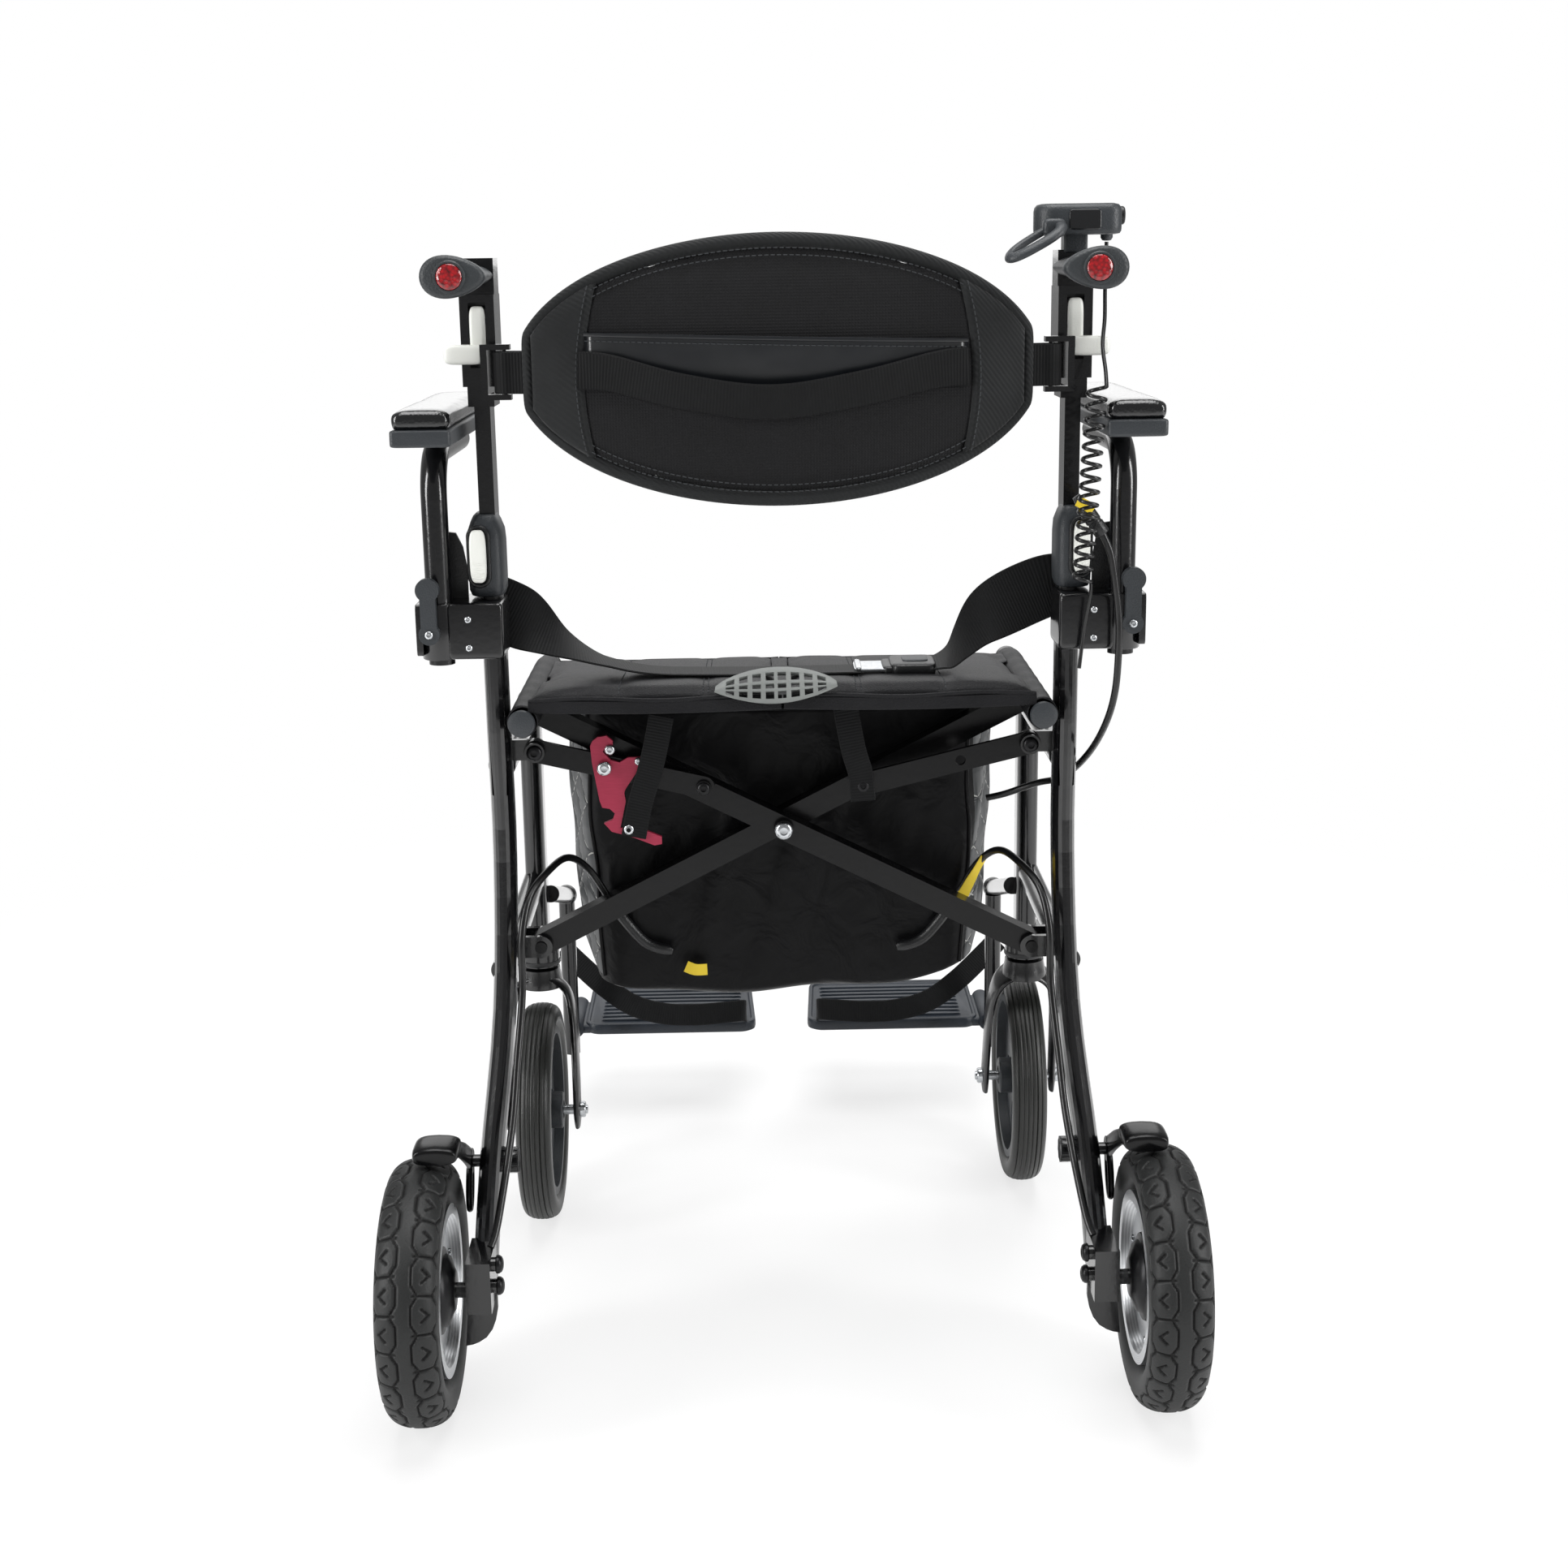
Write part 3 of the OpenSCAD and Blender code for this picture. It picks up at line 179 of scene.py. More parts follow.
def grain(tree, shader, height, depth):
    """Links a height pattern to the shader's normal, with its depth in millimetres."""
    bump = add(tree, "ShaderNodeBump", {"Height": height, "Strength": 1.0, "Distance": depth / 1000})
    tree.links.new(bump.outputs["Normal"], shader.inputs["Normal"])


def tint(tree, shader, factor, low, high):
    """Links a base colour that goes from low to high with the factor."""
    mix = add(tree, "ShaderNodeMix", {"Factor": factor}, data_type="RGBA")
    mix.inputs["A"].default_value = linear(low)
    mix.inputs["B"].default_value = linear(high)
    tree.links.new(mix.outputs["Result"], shader.inputs["Base Color"])


def gloss_enamel():
    # Baked enamel on steel tube: deep gloss, faint orange peel, a little dust in the black
    made, tree, shader, place = start("gloss_enamel_on_steel", colours().enamel, 0.2, coat_weight=0.35,
                                      coat_roughness=0.06)
    dust = noise(tree, place, 70, 3.0)
    tint(tree, shader, dust, colours().enamel, "0e0e10")
    peel = noise(tree, place, 5)
    grain(tree, shader, peel, 0.12)
    return made


def brace_enamel():
    # Black enamel on flat steel bar, thinner and duller than on the tubes
    made, tree, shader, place = start("brace_enamel_on_steel", "060607", 0.24, specular_ior_level=0.28)
    dust = noise(tree, place, 50, 3.0)
    tint(tree, shader, dust, "050506", "0b0b0c")
    peel = noise(tree, place, 6)
    grain(tree, shader, peel, 0.1)
    return made


def powder_coat():
    # Powder coat on the caster forks: satin, with a fine sprayed grain drawn at 1.5 mm so that it shows
    made, tree, shader, place = start("satin_powder_coat", "0a0a0b", 0.3, coat_weight=0.3,
                                      coat_roughness=0.12)
    wear = noise(tree, place, 40, 4.0)
    tint(tree, shader, wear, "070708", "101012")
    fine = noise(tree, place, 1.5)
    grain(tree, shader, fine, 0.15)
    return made


def moulded(name, base, pale, roughness, size=1.2, depth=0.14, coat=0.0):
    """Moulded plastic: an even colour with a spark-eroded grain."""
    made, tree, shader, place = start(name, base, roughness, coat_weight=coat, coat_roughness=0.12)
    cloud = noise(tree, place, 28, 5.0)
    tint(tree, shader, cloud, base, pale)
    cell = add(tree, "ShaderNodeTexVoronoi", {"Vector": place.outputs["Object"], "Scale": per_mm(size)})
    grain(tree, shader, cell.outputs["Distance"], depth)
    return made


def tyre_rubber():
    # Moulded tyre rubber: dull charcoal, paler where it is scuffed, fine mould texture
    made, tree, shader, place = start("moulded_tyre_rubber", "161717", 0.5, specular_ior_level=0.4)
    scuff = noise(tree, place, 22, 6.0)
    tint(tree, shader, scuff, "101111", "222323")
    fine = noise(tree, place, 1.6, 3.0)
    grain(tree, shader, fine, 0.2)
    return made


def turned_aluminium():
    # Turned cast aluminium: bright, with tool rings round the axle drawn at 1.5 mm
    made, tree, shader, place = start("turned_aluminium", "cfd1d3", 0.3, metallic=1.0)
    centre = add(tree, "ShaderNodeMapping", {"Vector": place.outputs["Object"],
                                             "Location": (0.0, Y_MID / 1000, -0.1016)})
    ring = add(tree, "ShaderNodeTexWave", {"Vector": centre.outputs["Vector"], "Scale": per_wave(1.5),
                                           "Distortion": 0.4}, wave_type="RINGS", rings_direction="X")
    tint(tree, shader, ring.outputs["Fac"], "bfc1c4", "dcdee0")
    grain(tree, shader, ring.outputs["Fac"], 0.05)
    return made


def zinc_steel():
    # Zinc-plated steel fasteners: bright with a cloudy passivation
    made, tree, shader, place = start("zinc_plated_steel", "c3c6c9", 0.26, metallic=1.0)
    cloud = noise(tree, place, 4, 3.0)
    tint(tree, shader, cloud, "aeb2b6", "d8dadc")
    return made


def black_steel():
    # Blackened steel fasteners: dark with a dull metal sheen
    made, tree, shader, place = start("blackened_steel", "101012", 0.34, metallic=0.5)
    cloud = noise(tree, place, 6, 3.0)
    tint(tree, shader, cloud, "0b0b0c", "17171a")
    return made


def anodised_latch():
    # Anodised aluminium plate: dyed crimson, satin, with a fine rolled grain
    made, tree, shader, place = start("anodised_aluminium_crimson", colours().latch, 0.4, metallic=0.25)
    roll = add(tree, "ShaderNodeMapping", {"Vector": place.outputs["Object"], "Scale": (1.0, 1.0, 12.0)})
    lines = add(tree, "ShaderNodeTexNoise", {"Vector": roll.outputs["Vector"], "Scale": per_mm(9),
                                             "Detail": 4.0})
    tint(tree, shader, lines.outputs["Fac"], "861e36", "a42c48")
    grain(tree, shader, lines.outputs["Fac"], 0.04)
    return made


def red_reflector():
    # Moulded acrylic reflector: clear red over small prisms, drawn at 2.6 mm
    made, tree, shader, place = start("acrylic_reflector_red", "8c0a12", 0.16, coat_weight=0.6,
                                      coat_roughness=0.04)
    prism = add(tree, "ShaderNodeTexVoronoi", {"Vector": place.outputs["Object"], "Scale": per_mm(2.6)})
    tint(tree, shader, prism.outputs["Distance"], "b4101a", "3c0408")
    grain(tree, shader, prism.outputs["Distance"], 0.5)
    return made


def seat_vinyl():
    # Embossed vinyl on cloth: leather-like cells about 2 mm across, soft sheen, broad soft creases whose
    # hollows are darkened as painted shade
    made, tree, shader, place = start("embossed_seat_vinyl", colours().vinyl, 0.5, specular_ior_level=0.18)
    cell = add(tree, "ShaderNodeTexVoronoi", {"Vector": place.outputs["Object"], "Scale": per_mm(2.2)},
               feature="DISTANCE_TO_EDGE")
    broad = noise(tree, place, 45, 4.0)
    # Painted shade: the pattern that shapes the creases also darkens the colour in their hollows
    tint(tree, shader, broad, "101012", "1f1f21")
    both = add(tree, "ShaderNodeMath", {0: cell.outputs["Distance"], 1: broad}, operation="ADD")
    grain(tree, shader, both.outputs["Value"], 0.5)
    return made


def woven_canvas():
    # Plain-woven polyester canvas: threads of 0.6 mm, drawn at 2.2 mm so that the weave shows
    made, tree, shader, place = start("woven_polyester_canvas", colours().canvas, 0.85, sheen_weight=0.06,
                                      sheen_roughness=0.5, specular_ior_level=0.3)
    warp = add(tree, "ShaderNodeTexWave", {"Vector": place.outputs["Object"], "Scale": per_wave(2.2)},
               bands_direction="X")
    weft = add(tree, "ShaderNodeTexWave", {"Vector": place.outputs["Object"], "Scale": per_wave(2.2)},
               bands_direction="Z")
    both = add(tree, "ShaderNodeMath", {0: warp.outputs["Fac"], 1: weft.outputs["Fac"]},
               operation="MULTIPLY")
    slub = noise(tree, place, 14, 6.0)
    tint(tree, shader, slub, "050506", "0d0d10")
    grain(tree, shader, both.outputs["Value"], 0.35)
    return made


def twill_tape():
    # Twill tape and stretch panels: diagonal ribs of 1 mm, drawn at 2.4 mm, greyer than the canvas
    made, tree, shader, place = start("twill_stretch_tape", "131415", 0.8, sheen_weight=0.08,
                                      sheen_roughness=0.4, specular_ior_level=0.35)
    rib = add(tree, "ShaderNodeTexWave", {"Vector": place.outputs["Object"], "Scale": per_wave(2.4),
                                          "Distortion": 0.6}, bands_direction="DIAGONAL")
    slub = noise(tree, place, 18, 5.0)
    tint(tree, shader, slub, "0e0f10", "1a1c1d")
    grain(tree, shader, rib.outputs["Fac"], 0.3)
    return made


def nylon_webbing():
    # Nylon webbing: ribs across the strap every 1.6 mm, drawn at 2.4 mm along its own length
    made, tree, shader, place = start("nylon_webbing", "08080a", 0.6, sheen_weight=0.02,
                                      specular_ior_level=0.16)
    rib = add(tree, "ShaderNodeTexWave", {"Vector": place.outputs["UV"], "Scale": per_wave(2.4),
                                          "Distortion": 0.3}, bands_direction="Y")
    slub = noise(tree, place, 12, 4.0)
    tint(tree, shader, slub, "060607", "0f1011")
    grain(tree, shader, rib.outputs["Fac"], 0.15)
    return made


def bag_cloth():
    # Coated nylon cloth: soft shine, crumpled, with painted shade darkening the hollows of the crumples
    made, tree, shader, place = start("coated_nylon_cloth", "040405", 0.45, specular_ior_level=0.16)
    crumple = add(tree, "ShaderNodeTexNoise", {"Vector": place.outputs["Object"], "Scale": per_mm(32),
                                               "Detail": 3.0, "Distortion": 0.8})
    # Painted shade: the crumple height also darkens the colour in its hollows
    tint(tree, shader, crumple.outputs["Fac"], "030304", "0a0a0c")
    grain(tree, shader, crumple.outputs["Fac"], 3.0)
    return made


def quilted_vinyl():
    # Quilted grey vinyl: puffed diamonds with pale stitches along their lines
    made, tree, shader, place = start("quilted_vinyl", "26292b", 0.45)
    part = add(tree, "ShaderNodeSeparateXYZ", {"Vector": place.outputs["Object"]})
    lines, dashes = [], []
    for sign in (1.0, -1.0):
        slant = add(tree, "ShaderNodeMath", {0: part.outputs["Z"], 1: sign * 1.6, 2: part.outputs["Y"]},
                    operation="MULTIPLY_ADD")
        wave = add(tree, "ShaderNodeMath", {0: slant.outputs["Value"], 1: 0.034}, operation="PINGPONG")
        lines.append(wave.outputs["Value"])
        step = add(tree, "ShaderNodeMath", {0: part.outputs["Z"], 1: 0.004}, operation="PINGPONG")
        dashes.append(step.outputs["Value"])
    near = add(tree, "ShaderNodeMath", {0: lines[0], 1: lines[1]}, operation="MINIMUM")
    on_line = add(tree, "ShaderNodeMath", {0: near.outputs["Value"], 1: 0.0011}, operation="LESS_THAN")
    on_dash = add(tree, "ShaderNodeMath", {0: dashes[0], 1: 0.0016}, operation="GREATER_THAN")
    stitch = add(tree, "ShaderNodeMath", {0: on_line.outputs["Value"], 1: on_dash.outputs["Value"]},
                 operation="MULTIPLY")
    tint(tree, shader, stitch.outputs["Value"], "26292b", "b9b9b4")
    puffed = add(tree, "ShaderNodeMath", {0: near.outputs["Value"], 1: 0.4}, operation="POWER")
    grain(tree, shader, puffed.outputs["Value"], 12.0)
    return made


def clear_coated_vinyl():
    # Smooth coated vinyl of the pocket: even and shiny, with soft waves whose hollows are darkened as
    # painted shade
    made, tree, shader, place = start("smooth_coated_vinyl", "0b0d10", 0.3, coat_weight=0.3,
                                      coat_roughness=0.2)
    soft = noise(tree, place, 60, 2.0)
    # Painted shade: the wave height also darkens the colour in its hollows
    tint(tree, shader, soft, "090b0d", "12151a")
    grain(tree, shader, soft, 3.0)
    return made


def sewing_thread():
    # Twisted polyester thread: dark grey, dull
    made, tree, shader, place = start("polyester_thread", "2a2c2e", 0.8)
    ply = noise(tree, place, 1.5)
    tint(tree, shader, ply, "222426", "3a3d40")
    return made


FINISHES = {
    "enamel": gloss_enamel,
    "brace": brace_enamel,
    "powder": powder_coat,
    # Glass-filled nylon of clamps and brackets: slate grey, dull
    "slate": lambda: moulded("glass_filled_nylon_slate", "24272a", "33373b", 0.45),
    # Acrylonitrile butadiene styrene levers: ivory, half gloss
    "ivory": lambda: moulded("abs_ivory", colours().lever, "eff0ea", 0.34, depth=0.06),
    # Glass-filled nylon of the carry grip: mid grey, dull
    "grey": lambda: moulded("glass_filled_nylon_grey", "6c6f6d", "868987", 0.5),
    # Thermoplastic elastomer grips: soft, dull, dark grey
    "grip": lambda: moulded("elastomer_grip", "222527", "2f3336", 0.5, size=1.6, depth=0.2),
    # Integral-skin polyurethane pads: black, shiny, leather-like skin
    "pad": lambda: moulded("integral_skin_polyurethane", "060607", "0d0e10", 0.22, size=2.0, depth=0.2,
                           coat=0.5),
    # Polypropylene footplates: dark blue-grey, half dull
    "foot": lambda: moulded("polypropylene_blue_grey", colours().foot, "232a33", 0.42),
    # Polyvinyl chloride cable jacket: black, half gloss
    "cable": lambda: moulded("pvc_cable_jacket", "060607", "0c0c0d", 0.3, size=3.0, depth=0.05),
    # Woven polyester marker tags: yellow
    "tag": lambda: moulded("polyester_tag_yellow", "dfc01c", "e8cc34", 0.6),
    # Black moulded nylon of buckles and knobs
    "black": lambda: moulded("moulded_nylon_black", "0a0b0c", "141517", 0.38),
    # Polycarbonate window of the controller: dark gloss
    "window": lambda: moulded("polycarbonate_window", "0a0b0d", "0e0f12", 0.08, size=8.0, depth=0.01,
                              coat=0.6),
    # Tyre rubber darkened at the foot of the grooves: painted shade in the grooves
    "groove": lambda: moulded("painted_shade_tyre_rubber_in_grooves", "070707", "101010", 0.8),
    # Cast polyurethane caster tyres: dark grey, half gloss
    "caster_tyre": lambda: moulded("cast_polyurethane_tyre", "1a1b1a", "292a28", 0.36),
    "tyre": tyre_rubber,
    "rim": turned_aluminium,
    "zinc": zinc_steel,
    "dark_steel": black_steel,
    "latch": anodised_latch,
    "reflector": red_reflector,
    "vinyl": seat_vinyl,
    "canvas": woven_canvas,
    "twill": twill_tape,
    "webbing": nylon_webbing,
    "bag": bag_cloth,
    "quilt": quilted_vinyl,
    "pocket": clear_coated_vinyl,
    "thread": sewing_thread,
}
MADE = {}


def finish(name):
    """The material of that finish, made once."""
    if name not in MADE:
        MADE[name] = FINISHES[name]()
    return MADE[name]


# Mesh building
def build(name, points, faces, finishes, body=None, shade=None, uv=None, angle=40):
    """Makes a mesh piece from points in millimetres with its finishes, and rides it on a named body."""
    points = np.asarray(points, float)
    mesh = bpy.data.meshes.new(name)
    mesh.from_pydata(((points - [0, Y_MID, 0]) / 1000).tolist(), [], [tuple(f) for f in faces])
    mesh.validate()
    finishes = [finishes] if isinstance(finishes, str) else finishes
    for f in finishes:
        mesh.materials.append(finish(f))
    if shade is not None:
        mesh.polygons.foreach_set("material_index", np.asarray(shade, np.int32))
    if uv is not None:
        layer = mesh.uv_layers.new(name="UVMap")
        loops = np.zeros(len(mesh.loops), np.int32)
        mesh.loops.foreach_get("vertex_index", loops)
        layer.data.foreach_set("uv", (np.asarray(uv, float)[loops] / 1000).astype(np.float32).ravel())
    mesh.shade_smooth()
    mesh.set_sharp_from_angle(angle=math.radians(angle))
    made = bpy.data.objects.new(name, mesh)
    bpy.context.scene.collection.objects.link(made)
    if body:
        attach(made, body)
    return made


def merge(*parts):
    """Joins lists of points and faces into one."""
    points, faces, count = [], [], 0
    for p, f in parts:
        points.append(np.asarray(p, float))
        faces += [tuple(i + count for i in face) for face in f]
        count += len(p)
    return np.vstack(points), faces


def sided(part, side):
    """The part, or its mirror image for the left side."""
    points, faces = np.asarray(part[0], float) * [side, 1, 1], part[1]
    return points, flipped(faces) if side < 0 else faces


def strip(n, m, wrap_n=False, wrap_m=True):
    """Faces between n rings of m points."""
    return [
        (i * m + j, i * m + (j + 1) % m, (i + 1) % n * m + (j + 1) % m, (i + 1) % n * m + j)
        for i in range(n if wrap_n else n - 1) for j in range(m if wrap_m else m - 1)
    ]


def capped(n, m):
    """Faces between n rings of m points, and a face over each end."""
    return strip(n, m) + [tuple(range(m))[::-1], tuple(range((n - 1) * m, n * m))]


def flipped(faces):
    """The faces, turned to look the other way."""
    return [f[::-1] for f in faces]


def power(value, exponent):
    """The value raised to a power, with its sign kept."""
    return math.copysign(abs(value) ** exponent, value)


def thicken(piece, thickness):
    """Gives a sheet its thickness, in millimetres."""
    layer = piece.modifiers.new("Thickness", "SOLIDIFY")
    layer.thickness = thickness / 1000
    layer.offset = -1.0


def smooth(points, n):
    """A smooth line through the points, with n steps between each two."""
    p = np.asarray(points, float)
    out = []
    for i in range(len(p) - 1):
        a, b, c, d = p[max(i - 1, 0)], p[i], p[i + 1], p[min(i + 2, len(p) - 1)]
        for k in range(n):
            t = k / n
            out.append(0.5 * (2 * b + (c - a) * t + (2 * a - 5 * b + 4 * c - d) * t * t
                              + (3 * b - a - 3 * c + d) * t ** 3))
    out.append(p[-1])
    return np.array(out)


def headings(p, closed=False):
    """Unit headings along a line."""
    if closed:
        t = np.roll(p, -1, 0) - np.roll(p, 1, 0)
    else:
        t = np.gradient(p, axis=0)
    return t / np.linalg.norm(t, axis=1)[:, None]


def tube(line, radius, sides=12, first=(0, 0, 1), closed=False, flat=1.0):
    """A round or oval tube along a line; flat scales it across the first direction."""
    p = np.asarray(line, float)
    t = headings(p, closed)
    u = np.array(first, float)
    rings = []
    angles = np.linspace(0, 2 * math.pi, sides, endpoint=False)
    for i in range(len(p)):
        u = u - (u @ t[i]) * t[i]
        u /= np.linalg.norm(u)
        v = np.cross(t[i], u)
        r = radius[i] if hasattr(radius, "__len__") else radius
        rings.append(p[i] + r * (np.cos(angles)[:, None] * u + flat * np.sin(angles)[:, None] * v))
    faces = strip(len(p), sides, wrap_n=True) if closed else capped(len(p), sides)
    return np.vstack(rings), faces


def ribbon(line, across, width, thick):
    """Flat webbing along a line, with rounded edges; across is one direction or one for each point."""
    p = np.asarray(line, float)
    t = headings(p)
    across = np.broadcast_to(np.asarray(across, float), p.shape)
    half, rim = width / 2, thick / 2
    section = [(-half, 0), (-half + rim, rim), (0, rim), (half - rim, rim),
               (half, 0), (half - rim, -rim), (0, -rim), (-half + rim, -rim)]
    along = np.concatenate([[0], np.cumsum(np.linalg.norm(np.diff(p, axis=0), axis=1))])
    points, uv = [], []
    for i in range(len(p)):
        s = across[i] - (across[i] @ t[i]) * t[i]
        s /= np.linalg.norm(s)
        n = np.cross(t[i], s)
        for a, b in section:
            points.append(p[i] + a * s + b * n)
            uv.append((a, along[i]))
    return np.array(points), capped(len(p), len(section)), np.array(uv)


def lathe(profile, centre, axis, n=48):
    """A solid turned about an axis through centre; the profile gives radius and distance along the axis."""
    axis = np.array(axis, float) / np.linalg.norm(axis)
    u = np.cross(axis, [0, 0, 1] if abs(axis[2]) < 0.9 else [1, 0, 0])
    u /= np.linalg.norm(u)
    v = np.cross(axis, u)
    a = np.linspace(0, 2 * math.pi, n, endpoint=False)
    ring = np.cos(a)[:, None] * u + np.sin(a)[:, None] * v
    points = np.vstack([np.asarray(centre, float) + d * axis + max(r, 0.01) * ring for r, d in profile])
    return points, capped(len(profile), n)


def rounded_box(low, high, squareness=5.0, n=24, m=16):
    """A box with soft edges, as a superellipsoid shell: the squarer, the sharper its edges."""
    low, high = np.array(low, float), np.array(high, float)
    half, mid = (high - low) / 2, (high + low) / 2
    k = 2.0 / squareness
    points = []
    for i in range(m + 1):
        b = math.pi * (i / m - 0.5)
        for j in range(n):
            a = 2 * math.pi * (j + 0.5) / n
            c, z = math.cos(b), math.sin(b)
            x = power(math.cos(a), k) * c ** k
            y = power(math.sin(a), k) * c ** k
            points.append(mid + half * [x, y, power(z, k)])
    return np.array(points), strip(m + 1, n)


def screw(at, axis, radius, height):
    """A domed screw head with a socket in its middle."""
    r, h = radius, height
    return lathe([(r * 0.9, -0.4), (r, 0.1 * h), (r * 0.97, 0.45 * h), (r * 0.8, 0.82 * h), (r * 0.52, h),
                  (r * 0.42, h), (r * 0.4, 0.45 * h), (0, 0.4 * h)], at, axis, 24)


def stitches(line, step=4.0, length=2.6, radius=0.35):
    """Separate thread stitches along a line."""
    p = np.asarray(line, float)
    along = np.concatenate([[0], np.cumsum(np.linalg.norm(np.diff(p, axis=0), axis=1))])
    parts = []
    for s in np.arange(0.5, along[-1] - length, step):
        ends = [np.array([np.interp(x, along, p[:, k]) for k in range(3)]) for x in (s, s + length)]
        if np.linalg.norm(ends[1] - ends[0]) > 0.5:
            middle = (ends[0] + ends[1]) / 2
            parts.append(tube(np.array([ends[0], middle, ends[1]]), radius, 5, (0.3, 0.5, 0.8)))
    return merge(*parts)


def soften(solid, width):
    """Rounds the edges of a shown solid by millimetres, without touching its mesh."""
    flat = solid.modifiers.new("Flat faces", "DECIMATE")
    flat.decimate_type = "DISSOLVE"
    flat.angle_limit = math.radians(3)
    edge = solid.modifiers.new("Soft edges", "BEVEL")
    edge.width = width / 1000
    edge.segments = 2
    edge.limit_method = "ANGLE"
    edge.angle_limit = math.radians(50)


def dress(node, name, width=0.0):
    """Gives a shown solid its finish, smooth shading and soft edges."""
    solid = NODES[node]
    solid.data.materials.clear()
    solid.data.materials.append(finish(name))
    solid.data.shade_smooth()
    solid.data.set_sharp_from_angle(angle=math.radians(35))
    if width:
        soften(solid, width)


def swell(cover, voxel, cap, pressure=4.0):
    """Swells a closed cover by cloth simulation, with no point moving further than cap, in millimetres."""
    remesh = cover.modifiers.new("Shell", "REMESH")
    remesh.mode = "VOXEL"
    remesh.voxel_size = voxel / 1000
    bpy.context.view_layer.update()
    graph = bpy.context.evaluated_depsgraph_get()
    mesh = bpy.data.meshes.new_from_object(cover.evaluated_get(graph))
    cover.modifiers.clear()
    materials = list(cover.data.materials)
    cover.data = mesh
    mesh.materials.clear()
    for m in materials:
        mesh.materials.append(m)
    mesh.polygons.foreach_set("material_index", np.zeros(len(mesh.polygons), np.int32))
    rest = np.zeros(len(mesh.vertices) * 3)
    mesh.vertices.foreach_get("co", rest)
    cloth = cover.modifiers.new("Cloth", "CLOTH")
    cloth.settings.use_pressure = True
    cloth.settings.uniform_pressure_force = pressure
    cloth.settings.effector_weights.gravity = 0.0
    cloth.settings.quality = 4
    for number in range(1, 21):
        bpy.context.scene.frame_set(number)
    graph = bpy.context.evaluated_depsgraph_get()
    blown = np.zeros(len(rest))
    cover.evaluated_get(graph).data.vertices.foreach_get("co", blown)
    cover.modifiers.clear()
    bpy.context.scene.frame_set(1)
    move = (blown - rest).reshape(-1, 3)
    size = np.linalg.norm(move, axis=1)[:, None] + 1e-9
    most = cap / 1000
    rest = (rest.reshape(-1, 3) + move / size * most * np.tanh(size / most)).ravel()
    mesh.vertices.foreach_set("co", rest)
    mesh.shade_smooth()
    mesh.update()
    finer = cover.modifiers.new("Finer", "SUBSURF")
    finer.levels = 1
    finer.render_levels = 1


